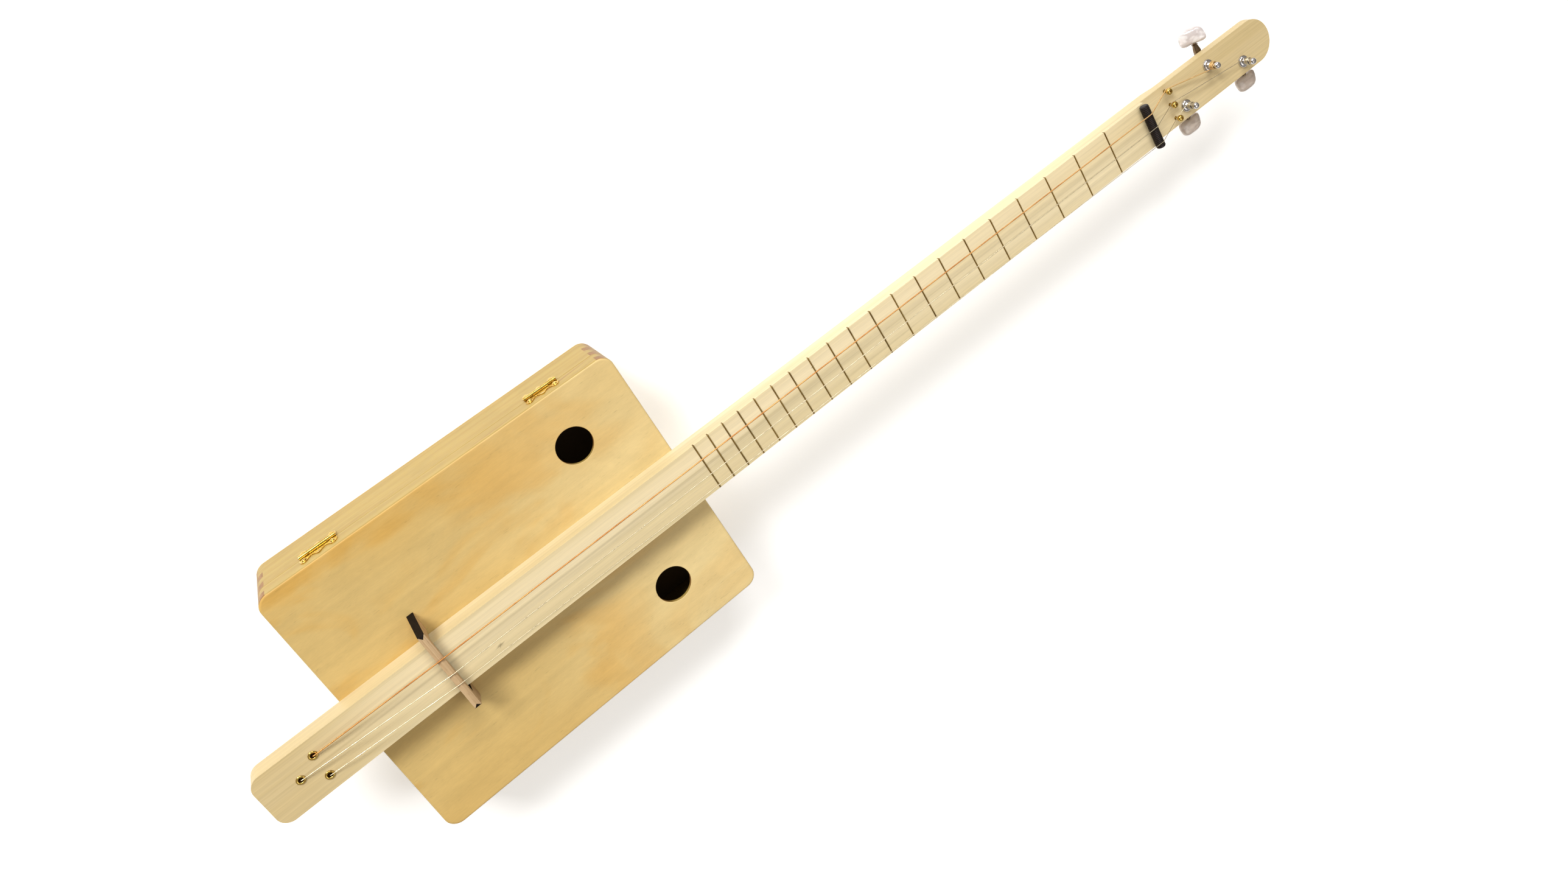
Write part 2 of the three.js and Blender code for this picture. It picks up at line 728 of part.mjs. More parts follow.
function basePlate() {
  const outline = roundedRectangle(-plateBack, plateFront, plateWidth * half, plateCornerRadius);
  const plate = prismZ(outline, plateBottom, plateThickness);
  const lug = new THREE.Shape();
  lug.moveTo(shaftOffset + lugHalfWidth, plateBottom + plateThickness * half);
  lug.lineTo(shaftOffset - lugHalfWidth, plateBottom + plateThickness * half);
  lug.absarc(shaftOffset, shaftZ, lugHalfWidth, Math.PI, 2 * Math.PI);
  const lugs = [lugOuter, lugThickness - lugOuter].map((yEnd) => prismY(lug, yEnd, lugThickness));
  const screwHole = rod(plateScrewRadius, plateBottom - overrun, headBack + overrun);
  const bearing = rod(shaftRadius + fitPlay, -lugOuter - overrun, lugOuter + overrun);
  return cut(
    join(plate, ...lugs),
    screwHole.clone().translate(plateScrewInset - plateBack, 0, 0),
    screwHole.clone().translate(plateFront - plateScrewInset, 0, 0),
    rod(postRadius + fitPlay, plateBottom - overrun, headBack + overrun, turnedFacets),
    bearing.rotateX(Math.PI / 2).translate(shaftOffset, 0, shaftZ),
  );
}

// The ridge of a worm and the roots between its turns, as an open skin from ring to ring.
// The ridge of tapered section goes down by one lead as it goes once round, counterclockwise
// seen from -Y. Its corners are numbered 0 to 3 from below, and the skin's two rings come last.
function wormThread(rootRadius, ringReach) {
  const tipRadius = wormPitchRadius + wormTipHeight;
  const rootHalf = wormLead * wormRootShare;
  const tipHalf = wormLead * wormTipShare;
  const section = [
    [rootRadius, -rootHalf], [tipRadius, -tipHalf], [tipRadius, tipHalf], [rootRadius, rootHalf],
  ];
  const corners = section.length;
  const top = corners - 1;
  const steps = wormTurns * wormFacets;
  const angleAt = (step) => (2 * Math.PI * (step - steps * half)) / wormFacets - Math.PI / 2;
  const pointAt = (step, radius, y) => (
    new THREE.Vector3(radius * Math.sin(angleAt(step)), y, radius * Math.cos(angleAt(step)))
  );
  const points = [];
  const faces = [];
  for (let step = 0; step <= steps; step += 1) {
    const centre = (wormLead * (steps * half - step)) / wormFacets;
    section.forEach(([radius, offset]) => points.push(pointAt(step, radius, centre + offset)));
  }
  const ringStart = points.length;
  for (let step = 0; step < wormFacets; step += 1) {
    points.push(pointAt(step, rootRadius, ringReach), pointAt(steps + step, rootRadius, -ringReach));
  }
  const ridge = (step, corner) => corners * step + corner;
  const upper = (step) => ringStart + 2 * (step % wormFacets);
  const lower = (step) => ringStart + 1 + 2 * ((step - steps + wormFacets) % wormFacets);
  const quad = (a, b, c, d) => faces.push(a, b, c, a, c, d);
  const fan = (apex, chain) => {
    chain.slice(1).forEach((point, index) => faces.push(apex, chain[index], point));
  };
  for (let step = 0; step < steps; step += 1) {
    for (let corner = 0; corner < top; corner += 1) {
      const above = corner + 1;
      quad(ridge(step, corner), ridge(step + 1, corner), ridge(step + 1, above), ridge(step, above));
    }
  }
  for (let step = 0; step < steps - wormFacets; step += 1) {
    const below = step + wormFacets;
    quad(ridge(below, top), ridge(below + 1, top), ridge(step + 1, 0), ridge(step, 0));
  }
  for (let step = 0; step < wormFacets - 1; step += 1) {
    const low = steps - step;
    quad(ridge(step, top), ridge(step + 1, top), upper(step + 1), upper(step));
    quad(lower(low - 1), lower(low), ridge(low, 0), ridge(low - 1, 0));
  }
  const lastTop = wormFacets - 1;
  const firstLow = steps - lastTop;
  fan(ridge(lastTop, top), [
    ridge(wormFacets, top), ridge(0, 0), ridge(0, top), upper(0), upper(lastTop),
  ]);
  fan(ridge(firstLow, 0), [
    ridge(firstLow - 1, 0), ridge(steps, top), ridge(steps, 0), lower(steps), lower(firstLow),
  ]);
  quad(ridge(0, 0), ridge(0, 1), ridge(0, 2), ridge(0, top));
  quad(ridge(steps, top), ridge(steps, 2), ridge(steps, 1), ridge(steps, 0));
  const skin = new THREE.BufferGeometry().setFromPoints(points);
  skin.setIndex(faces);
  return skin;
}

// Worm, journals, the collar that keeps it in, and the tapered ferrule that holds the button
function wormShaft() {
  const rootRadius = wormPitchRadius - wormRootDepth;
  const journal = lugCentre - lugThickness * half - fitPlay;
  const tail = lugOuter + fitPlay;
  const tip = buttonStart + buttonBoreDepth - fitPlay;
  const tailProfile = [
    [0, -tail - shaftTailLength], [shaftTailRadius, -tail - shaftTailLength], [shaftTailRadius, -tail],
    [shaftRadius, -tail], [shaftRadius, -journal], [rootRadius, -journal],
  ];
  const stemProfile = [
    [rootRadius, journal], [shaftRadius, journal], [shaftRadius, tail], [ferruleCollarRadius, tail],
    [ferruleBellyRadius, ferruleBelly], [ferruleNeckRadius, ferruleNeck],
    [ferruleFlareRadius, buttonStart - fitPlay], [shaftRadius, buttonStart - fitPlay],
    [shaftRadius, tip], [0, tip],
  ];
  const skins = [tailProfile, stemProfile].map((profile) => {
    const skin = turned(profile, wormFacets).rotateX(-Math.PI / 2);
    skin.deleteAttribute("normal");
    skin.deleteAttribute("uv");
    return skin;
  });
  return join(mergeGeometries([...skins, wormThread(rootRadius, journal)]));
}

function button() {
  const reach = buttonLength * half - buttonRound;
  const depth = buttonDepth - 2 * buttonRound;
  const points = buttonOutlineShares.map(([x, y]) => (
    new THREE.Vector2(x * reach, buttonStart + buttonRound + y * depth)
  ));
  const outline = new THREE.Shape();
  outline.moveTo(points[0].x, points[0].y);
  outline.splineThru([...points.slice(1), points[0]]);
  const flat = buttonThickness - 2 * buttonRound;
  const bean = new THREE.ExtrudeGeometry(outline, {
    depth: flat,
    bevelThickness: buttonRound,
    bevelSize: buttonRound,
    bevelSegments: 3,
    curveSegments: splineSteps,
  });
  const bore = rod(shaftRadius + fitPlay, buttonStart - overrun, buttonStart + buttonBoreDepth);
  return cut(bean.translate(0, 0, -flat * half), bore.rotateX(-Math.PI / 2));
}

function gear() {
  const root = gearPitchRadius - gearRootDepth;
  const tip = gearPitchRadius + gearTipHeight;
  const twist = wormLead / (2 * Math.PI * wormPitchRadius * gearPitchRadius);
  const ringAt = (height) => Array.from({ length: gearTeeth }, (_, tooth) => (
    gearToothShares.map(([share, rise]) => {
      const angle = (2 * Math.PI * (tooth + share)) / gearTeeth - twist * height;
      const radius = root + rise * (tip - root);
      return new THREE.Vector3(radius * Math.cos(angle), radius * Math.sin(angle), shaftZ + height);
    })
  )).flat();
  const reach = gearThickness * half;
  return loft([-reach, 0, reach].map(ringAt));
}

function post() {
  const profile = [
    [0, shaftZ - gearThickness * half - fitPlay], [postRadius, shaftZ - gearThickness * half - fitPlay],
    [postRadius, headFace + postWaistStart - postBlend], [postWaistRadius, headFace + postWaistStart],
    [postWaistRadius, headFace + postWaistEnd], [postRadius, headFace + postWaistEnd + postBlend],
    [postRadius, headFace + postShoulderEnd], [postWaistRadius, headFace + postHeight - postBlend],
    [0, headFace + postHeight],
  ];
  const hole = rod(postHoleRadius, -postRadius - overrun, postRadius + overrun);
  hole.rotateY(Math.PI / 2).translate(0, 0, headFace + postHoleHeight);
  const slantWidth = 2 * postRadius + overrun;
  const slant = polygon([[0, 0], [slantWidth, 0], [slantWidth, slantWidth], [0, slantWidth]]);
  const wedge = prismY(slant, slantWidth, 2 * slantWidth);
  wedge.rotateY(THREE.MathUtils.degToRad(-postSlantAngle)).translate(0, 0, headFace + postSlantStart);
  return cut(join(turned(profile), gear()), hole, wedge);
}

function buildTuners() {
  const pieces = {
    bushing: [bushing(), "chrome"],
    base_plate: [basePlate(), "nickel"],
    post_gear: [post(), "chrome"],
  };
  for (let index = 0; index < tunerSlots.length; index += 1) {
    const facing = tunerSides[index] > 0 ? (geometry) => geometry : mirrored;
    const station = new THREE.Group();
    station.position.set(tunerX(index), tunerY(index), 0);
    for (const [label, [geometry, material]] of Object.entries(pieces)) {
      place(`tuner_${index + 1}_${label}`, facing(geometry), material, station);
    }
    const spindle = new THREE.Group();
    spindle.position.set(shaftOffset, 0, shaftZ);
    place(`tuner_${index + 1}_worm_shaft`, facing(wormShaft()), "nickel", spindle);
    const knob = place(`tuner_${index + 1}_button`, facing(button()), "pearl", spindle);
    knob.rotation.y = THREE.MathUtils.degToRad(buttonTurns[index]);
    station.add(spindle);
    guitar.add(station);
  }
}

buildBox();
hingePlaces.forEach((x, index) => buildHinge(`hinge_${index + 1}`, x));
buildNeck();
buildFrets();
buildNut();
buildBridge();
buildEyelets();
buildRetainers();
buildStrings();
buildWindings();
buildTuners();

export default guitar;
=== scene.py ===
"""Looks of a three-string cigar box guitar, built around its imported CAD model.

Sizes in the code are millimetres in the part's own frame: the origin is the centre of the box's
underside, +X runs along the neck to the head, +Y is the hinge side and +Z is up.
"""

import json
import math
from collections import namedtuple

import bmesh
import bpy
from mathutils import Matrix, Vector


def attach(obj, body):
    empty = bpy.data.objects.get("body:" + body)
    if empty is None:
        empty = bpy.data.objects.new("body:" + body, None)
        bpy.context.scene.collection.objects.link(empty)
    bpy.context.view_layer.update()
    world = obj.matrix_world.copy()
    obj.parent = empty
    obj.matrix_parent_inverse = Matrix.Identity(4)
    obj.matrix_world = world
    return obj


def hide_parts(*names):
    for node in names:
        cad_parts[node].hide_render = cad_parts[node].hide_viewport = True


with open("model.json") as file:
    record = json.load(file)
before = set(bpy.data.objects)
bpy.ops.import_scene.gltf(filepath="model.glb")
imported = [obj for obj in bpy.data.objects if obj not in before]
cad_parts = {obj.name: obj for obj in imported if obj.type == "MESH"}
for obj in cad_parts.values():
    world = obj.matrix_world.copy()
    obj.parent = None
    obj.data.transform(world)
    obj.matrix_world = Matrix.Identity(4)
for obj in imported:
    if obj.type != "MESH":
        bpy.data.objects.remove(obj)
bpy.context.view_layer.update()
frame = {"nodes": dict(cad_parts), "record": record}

MM = 0.001
TURN = 2 * math.pi
X_AXIS = Vector((1, 0, 0))
Y_AXIS = Vector((0, 1, 0))
Z_AXIS = Vector((0, 0, 1))

# Points nearer than this, in metres, become one
WELD = 0.000001

# Facets of the CAD pieces within this angle, in degrees, are joined, and their faces over this
# area, in square metres, are shaded flat
FLAT_ANGLE = 0.4
FLAT_AREA = 0.00012

# Camera, as fitted to the photograph
PHOTO_WIDTH = 2576
PHOTO_HEIGHT = 1449
FOCAL_PIXELS = 1994.35
CENTRE_PIXEL = (1460.21, 419.58)
SENSOR = 36
CAMERA_PLACE = (32.41, 354.50, 834.75)
CAMERA_RIGHT = (0.754427, -0.452440, 0.475539)
CAMERA_DOWN = (-0.563229, -0.818254, 0.115037)
CAMERA_FORWARD = (0.337064, -0.354625, -0.872140)

# Box
BOX_HALF_LENGTH = 125.5
BOX_HALF_WIDTH = 102.5
BOX_HEIGHT = 56
WALL = 8
PANEL = 3
SEAM = 41
FINGER = 8
SOUND_HOLE = (75.2, 63, 12.7)

# Resin streaks in metres: middle, reach, height, slope over the reach and strength
RESIN_STREAKS = ((0.09, 0.036, 0.0466, -0.0034, 0.85), (0.036, 0.028, 0.0515, -0.0012, 0.5))
RESIN_HALF_WIDTH = 0.0017
RESIN_WANDER = 0.003

# Hinges
HINGE_PLACES = {"hinge_1": 78.563, "hinge_2": -81.324}
HINGE_LEAF_FACE = 103.3
NAIL_RADIUS = 1.6
NAIL_HEIGHT = 1.1
NAIL_PLACES = ((-9.5, 6.1), (9.5, 6.1))

# Neck, nut and bridge
NECK_HALF = 18.7
NECK_BOTTOM = 56
NECK_TOP = 72
NECK_TAIL = -187.6
NECK_SCREWS = ((-98, 9), (-98, -9), (98, 9), (98, -9))
HEAD_FACE = 67.5
HEAD_STEP = 581.1
HEAD_END = 729.55
NUT_LINE = 571.55
SCALE_LENGTH = 635
FRETS = 20
FRET_HALF_WIDTH = 0.55
FRET_HEIGHT = 0.8
FRET_TANG_HALF = 0.25
FRET_TANG_DEPTH = 2
NUT_ROD = (577.2, -1.05, 76.02)
NUT_RADIUS = 3.97
NUT_LENGTH = 38.5
NUT_CHAMFER = 1.5
THREAD_PITCH = 1.411
THREAD_DEPTH = 0.7
BRIDGE_X = -64.45
BRIDGE_RIDGE = 80.7

# Pin knots in the neck in metres: x, y and size. Each is a spot with two fine checks, given as
# turn, narrow and wide reach over the size, and depth of colour.
KNOTS = ((-0.0334, -0.0106, 0.0026), (0.236, 0.011, 0.0014))
KNOT_MARKS = ((0, 0.55, 1.3, 0.5), (0.15, 0.13, 2.1, 0.8), (1.1, 0.13, 1.1, 0.7))

# Strings, in order from the thickest
STRING_RADII = (0.46, 0.3, 0.25)
WRAP_PITCH = 0.28
STRING_AT_BRIDGE = (10.6, -2.1, -10.5)
STRING_AT_NUT = (10.1, -1.9, -15.6)
EYELET_PLACES = ((-151.2, 8.2), (-164.4, 0.2), (-151.4, -8.9))
EYELET_HEIGHT = 0.9
EYELET_DEPTH = 5
EYELET_BORE = 1.5
EYELET_TUBE = 2
EYELET_BEAD = 0.7
BALL_RADIUS = 1.9
BALL_HEIGHT = 2.4
STRING_SEAT = 0.15
STRING_JOINT = 0.3
WINDING_TURNS = 3.25
WINDING_PLAY = 0.44
WINDING_START = 4.9
WAIST_RADIUS = 2.4

# Retainer screws
RETAINER_X = 607.55
RETAINER_Y = (13.2, 0.7, -12)
RETAINER_SHANK = 1.3
RETAINER_HEAD_RADIUS = 2.8
RETAINER_HEAD_HEIGHT = 2.8
RETAINER_LIFT = 4.8
RETAINER_PLAY = 0.3
RETAINER_DEPTH = 5.5
RETAINER_PITCH = 1.15
RETAINER_THREAD_DEPTH = 0.28

# Tuners
TUNER_PLACES = ((657.05, 8.35), (692.55, -8.35), (621.55, -8.35))
TUNER_SIDES = (1, -1, -1)
BUTTON_TURNS = (-38, 0, 0)
SHAFT_OFFSET = 7.4
SHAFT_Z = 53.5
POST_HOLE = (0.9, 76.1)
POST_NOTCH = (79.1, 32)
GEAR_TEETH = 15
GEAR_ROOT = 4.04
GEAR_TIP = 5.4
GEAR_TWIST = 0.02564
GEAR_HALF = 2.2
GEAR_TRIM = 0.25
GEAR_SCREW_DROP = 2.5
WORM_LEAD = 2.0106
WORM_ROOT = 1.82
WORM_TIP = 3.05
WORM_REACH = 3.5
WORM_HALF_LENGTH = 5.1
PLATE_BOTTOM = 57.5
PLATE_SCREWS = (-8.6, 14.6)
BUTTON_START = 16.7
BUTTON_DEPTH = 14
BUTTON_LENGTH = 23
BUTTON_THICKNESS = 7.6

# The worm's thread in shares of its lead: where it starts, half its foot, and its flank
WORM_THREAD = (0.25, 0.28, 0.22)

# Floor and light. An area light has a place, a target, a size in metres and a power in watts.
FLOOR_REACH = 6
FLOOR_GLOW = 0.34
WORLD_LOW = 0.05
WORLD_TOP = 0.46
WORLD_TINT = (1, 0.93, 0.83, 1)
WORLD_SEEN_TINT = (1, 0.99, 0.97, 1)
AREA_LIGHTS = {
    "key": ((-1.5, 3.4, 2.7), (0.1, 0, 0), (1.6, 1.6), 158),
    "side": ((1.2, 3.3, 2.5), (0.2, 0, 0), (1.9, 1), 64),
    "fill": ((0.7, -0.9, 2), (0.2, 0, 0), (1.6, 1.2), 8),
}

slots = {row["node"]: row["material_slot"] for row in frame["record"]["subparts"]}
bodies = {
    node: body
    for body, nodes in frame["record"]["behaviour"]["bodies"].items()
    for node in nodes
}


def linear(red, green, blue):
    """The linear colour of an sRGB one given from 0 to 255."""
    channels = (channel / 255 for channel in (red, green, blue))
    return (*(((c + 0.055) / 1.055) ** 2.4 if c > 0.04045 else c / 12.92 for c in channels), 1)


def placed(name, data):
    """A new object in the scene."""
    thing = bpy.data.objects.new(name, data)
    bpy.context.scene.collection.objects.link(thing)
    return thing


# Camera

def make_camera():
    data = bpy.data.cameras.new("photo_camera")
    data.sensor_width = SENSOR
    data.lens = SENSOR * FOCAL_PIXELS / PHOTO_WIDTH
    data.shift_x = (PHOTO_WIDTH / 2 - CENTRE_PIXEL[0]) / PHOTO_WIDTH
    data.shift_y = (CENTRE_PIXEL[1] - PHOTO_HEIGHT / 2) / PHOTO_WIDTH
    data.clip_start = 0.05
    data.clip_end = 50
    camera = placed("photo_camera", data)
    axes = [Vector(CAMERA_RIGHT), -Vector(CAMERA_DOWN), -Vector(CAMERA_FORWARD)]
    turn = Matrix([axis.normalized() for axis in axes]).transposed()
    camera.matrix_world = Matrix.Translation(Vector(CAMERA_PLACE) * MM) @ turn.to_4x4()
    bpy.context.scene.camera = camera


make_camera()


# Materials

class Shader:
    """A material's nodes. Each call adds what it names and hands back the output."""

    def __init__(self, name, **constants):
        self.material = bpy.data.materials.new(name)
        self.material.use_nodes = True
        self.tree = self.material.node_tree
        self.surface = self.tree.nodes["Principled BSDF"]
        for socket, value in constants.items():
            self.surface.inputs[socket.replace("_", " ")].default_value = value
        coordinates = self.add("TexCoord")
        self.place = coordinates.outputs["Object"]
        self.normal = coordinates.outputs["Normal"]

    def feed(self, socket, value):
        if isinstance(value, bpy.types.NodeSocket):
            self.tree.links.new(value, socket)
        else:
            socket.default_value = value

    def add(self, kind, inputs=(), **settings):
        node = self.tree.nodes.new("ShaderNode" + kind)
        for key, value in settings.items():
            setattr(node, key, value)
        for index, value in enumerate(inputs):
            self.feed(node.inputs[index], value)
        return node

    def maths(self, operation, *values):
        return self.add("Math", values, operation=operation).outputs[0]

    def times(self, product, *others):
        for other in others:
            product = self.maths("MULTIPLY", product, other)
        return product

    def unless(self, share):
        return self.maths("SUBTRACT", 1, share)

    def size(self, value):
        return self.maths("ABSOLUTE", value)

    def distance(self, first, second):
        squares = self.maths("ADD", self.maths("POWER", first, 2), self.maths("POWER", second, 2))
        return self.maths("SQRT", squares)

    def ramp(self, value, low, high, start=0.0, end=1.0):
        """A smooth step from start at low to end at high."""
        levels = (value, low, high, start, end)
        return self.add("MapRange", levels, interpolation_type="SMOOTHSTEP").outputs[0]

    def mix(self, factor, first, second, kind="MIX"):
        return self.add("MixRGB", (factor, first, second), blend_type=kind).outputs[0]

    def toned(self, colour, factor):
        return self.mix(1, colour, factor, "MULTIPLY")

    def split(self, vector):
        return self.add("SeparateXYZ", (vector,)).outputs

    def vector(self, x, y, z):
        return self.add("CombineXYZ", (x, y, z)).outputs[0]

    def stretch(self, vector, scale, shift=(0, 0, 0)):
        node = self.add("Mapping")
        self.feed(node.inputs["Vector"], vector)
        node.inputs["Scale"].default_value = scale
        node.inputs["Location"].default_value = shift
        return node.outputs[0]

    def noise(self, vector, scale, detail=2.0, roughness=0.5, distortion=0.0, shift=(0, 0, 0)):
        """Noise with its own number of features per metre along each axis."""
        node = self.add("TexNoise")
        self.feed(node.inputs["Vector"], self.stretch(vector, scale, shift))
        node.inputs["Scale"].default_value = 1
        node.inputs["Detail"].default_value = detail
        node.inputs["Roughness"].default_value = roughness
        node.inputs["Distortion"].default_value = distortion
        return node.outputs[0]

    def bump(self, height, strength, distance):
        node = self.add("Bump")
        self.feed(node.inputs["Height"], height)
        node.inputs["Strength"].default_value = strength
        node.inputs["Distance"].default_value = distance
        return node.outputs[0]

    def finish(self, colour=None, roughness=None, normal=None):
        for socket, value in (("Base Color", colour), ("Roughness", roughness), ("Normal", normal)):
            if value is not None:
                self.feed(self.surface.inputs[socket], value)
        return self.material


def pine():
    """Clear-lacquered pale pine. Each board's grain runs its own way, and the finger joints
    show end grain wherever a board's end comes to the outside."""
    s = Shader("pine", Specular_IOR_Level=0.3, Coat_Weight=0.06, Coat_Roughness=0.3)
    place = s.place
    x, y, z = s.split(place)
    normal_x, normal_y, normal_z = (s.size(part) for part in s.split(s.normal))
    out_x = s.size(x)
    out_y = s.size(y)
    end_zone = s.maths("GREATER_THAN", out_x, (BOX_HALF_LENGTH - WALL) * MM)
    side_zone = s.maths("GREATER_THAN", out_y, (BOX_HALF_WIDTH - WALL) * MM)
    finger = s.maths("FRACT", s.times(z, 1 / (2 * FINGER * MM)))
    band = s.times(s.maths("LESS_THAN", finger, 0.5), s.maths("GREATER_THAN", z, 1.5 * FINGER * MM))
    outer = s.ramp(s.size(s.maths("SUBTRACT", z, BOX_HEIGHT * MM / 2)),
                   (BOX_HEIGHT / 2 - PANEL - 0.2) * MM, (BOX_HEIGHT / 2 - PANEL) * MM)
    panel = s.times(outer, s.maths("GREATER_THAN", normal_z, 0.6))
    wall = s.unless(panel)
    long_board = s.times(side_zone, s.unless(band))
    short_board = s.times(end_zone, s.unless(long_board), wall)
    grain = s.mix(short_board, place, s.vector(y, x, z))
    end_grain = s.mix(short_board, normal_x, normal_y)
    end_grain = s.times(s.ramp(end_grain, 0.35, 0.95), wall)

    cloud = s.noise(grain, (9, 16, 16), detail=3, roughness=0.5, distortion=1.2)
    patch = s.ramp(cloud, 0.46, 0.66)
    wide = s.noise(grain, (3.5, 7, 7), detail=2, shift=(3, 1, 7))
    lines = s.noise(grain, (4, 260, 260), detail=3, roughness=0.6, distortion=0.3)
    flecks = s.noise(grain, (260, 1500, 1500), detail=2, roughness=0.6)
    dashes = s.ramp(s.noise(grain, (190, 1900, 1900), detail=1, shift=(5, 5, 5)), 0.68, 0.76)

    colour = s.mix(patch, linear(210, 180, 115), linear(209, 164, 82))
    colour = s.mix(s.ramp(wide, 0.4, 0.62, 0, 0.6), colour, linear(209, 169, 92))
    # Painted light and shade: paler towards the head end and less so towards the hinge side,
    # unevenly through the wood's clouds, then a little darker towards the hinge side
    pale_tone_and_painted_light = s.times(s.ramp(x, -0.05, 0.11), s.ramp(cloud, 0.3, 0.6, 0.88, 0.64),
                   s.ramp(y, 0, 0.09, 1, 0.6))
    colour = s.mix(pale_tone_and_painted_light, colour, linear(232, 209, 152))
    colour = s.toned(colour, s.ramp(y, -0.1, 0.1, 1, 0.96))
    wall_colour = s.mix(s.ramp(lines, 0.3, 0.7), linear(180, 154, 86), linear(167, 138, 72))
    colour = s.mix(wall, colour, wall_colour)
    mottle = s.noise(grain, (34, 70, 70), detail=3, roughness=0.6, distortion=0.6)
    dashes = s.times(dashes, s.ramp(mottle, 0.42, 0.6))
    shade = s.times(s.ramp(lines, 0.2, 0.8, 0.96, 1.04), s.ramp(flecks, 0.25, 0.75, 0.965, 1.02),
                    s.ramp(mottle, 0.3, 0.7, 1.03, 0.95), s.ramp(dashes, 0, 1, 1, 0.8))
    colour = s.toned(colour, shade)

    # Resin streaks along the lid's board on the hinge side
    wander = s.maths("SUBTRACT", s.noise(grain, (40, 0, 0), detail=2), 0.5)
    wander = s.times(wander, RESIN_WANDER)
    for middle, reach, level, slope, strength in RESIN_STREAKS:
        along = s.maths("DIVIDE", s.maths("SUBTRACT", x, middle), reach)
        height = s.maths("ADD", s.maths("ADD", level, s.times(along, slope)), wander)
        across = s.maths("DIVIDE", s.maths("SUBTRACT", z, height), RESIN_HALF_WIDTH)
        streak = s.times(s.ramp(s.distance(along, across), 1, 0.2), side_zone,
                         s.maths("GREATER_THAN", y, 0), s.ramp(lines, 0.3, 0.6, 0.3, 1), strength)
        colour = s.mix(streak, colour, linear(138, 86, 44))

    # End grain of the fingers, and the glue lines between them
    rings = s.noise(s.stretch(grain, (0, 1, 1)), (1, 420, 900), detail=2)
    brown = s.mix(s.ramp(rings, 0.35, 0.65), linear(158, 106, 58), linear(118, 74, 40))
    colour = s.mix(s.times(end_grain, 0.82), colour, brown)
    corner = s.times(end_zone, side_zone, wall)
    joint = s.size(s.maths("SUBTRACT", s.maths("FRACT", s.times(finger, 2)), 0.5))
    glue = s.times(s.ramp(joint, 0.475, 0.49), corner)
    colour = s.mix(s.times(glue, 0.55), colour, linear(112, 76, 44))

    # Inside, painted shade darkens the bare wood, more so on the bottom
    shaded_inside = s.times(
        s.maths("LESS_THAN", out_x, (BOX_HALF_LENGTH - WALL + 0.1) * MM),
        s.maths("LESS_THAN", out_y, (BOX_HALF_WIDTH - WALL + 0.1) * MM),
        s.maths("GREATER_THAN", z, (PANEL - 0.1) * MM),
        s.maths("LESS_THAN", z, (BOX_HEIGHT - PANEL + 0.1) * MM),
    )
    colour = s.mix(s.times(shaded_inside, 0.5), colour, linear(104, 76, 46))
    # Painted shade, darkest on the inner face of the bottom
    shaded_bottom = s.times(shaded_inside, s.maths("LESS_THAN", z, 1.1 * PANEL * MM))
    colour = s.mix(s.times(shaded_bottom, 0.8), colour, linear(66, 48, 30))

    height = s.maths("ADD", s.times(flecks, 0.6), s.times(lines, 0.4))
    roughness = s.ramp(flecks, 0.2, 0.8, 0.42, 0.56)
    return s.finish(colour, roughness, s.bump(height, 0.25, 0.0002))


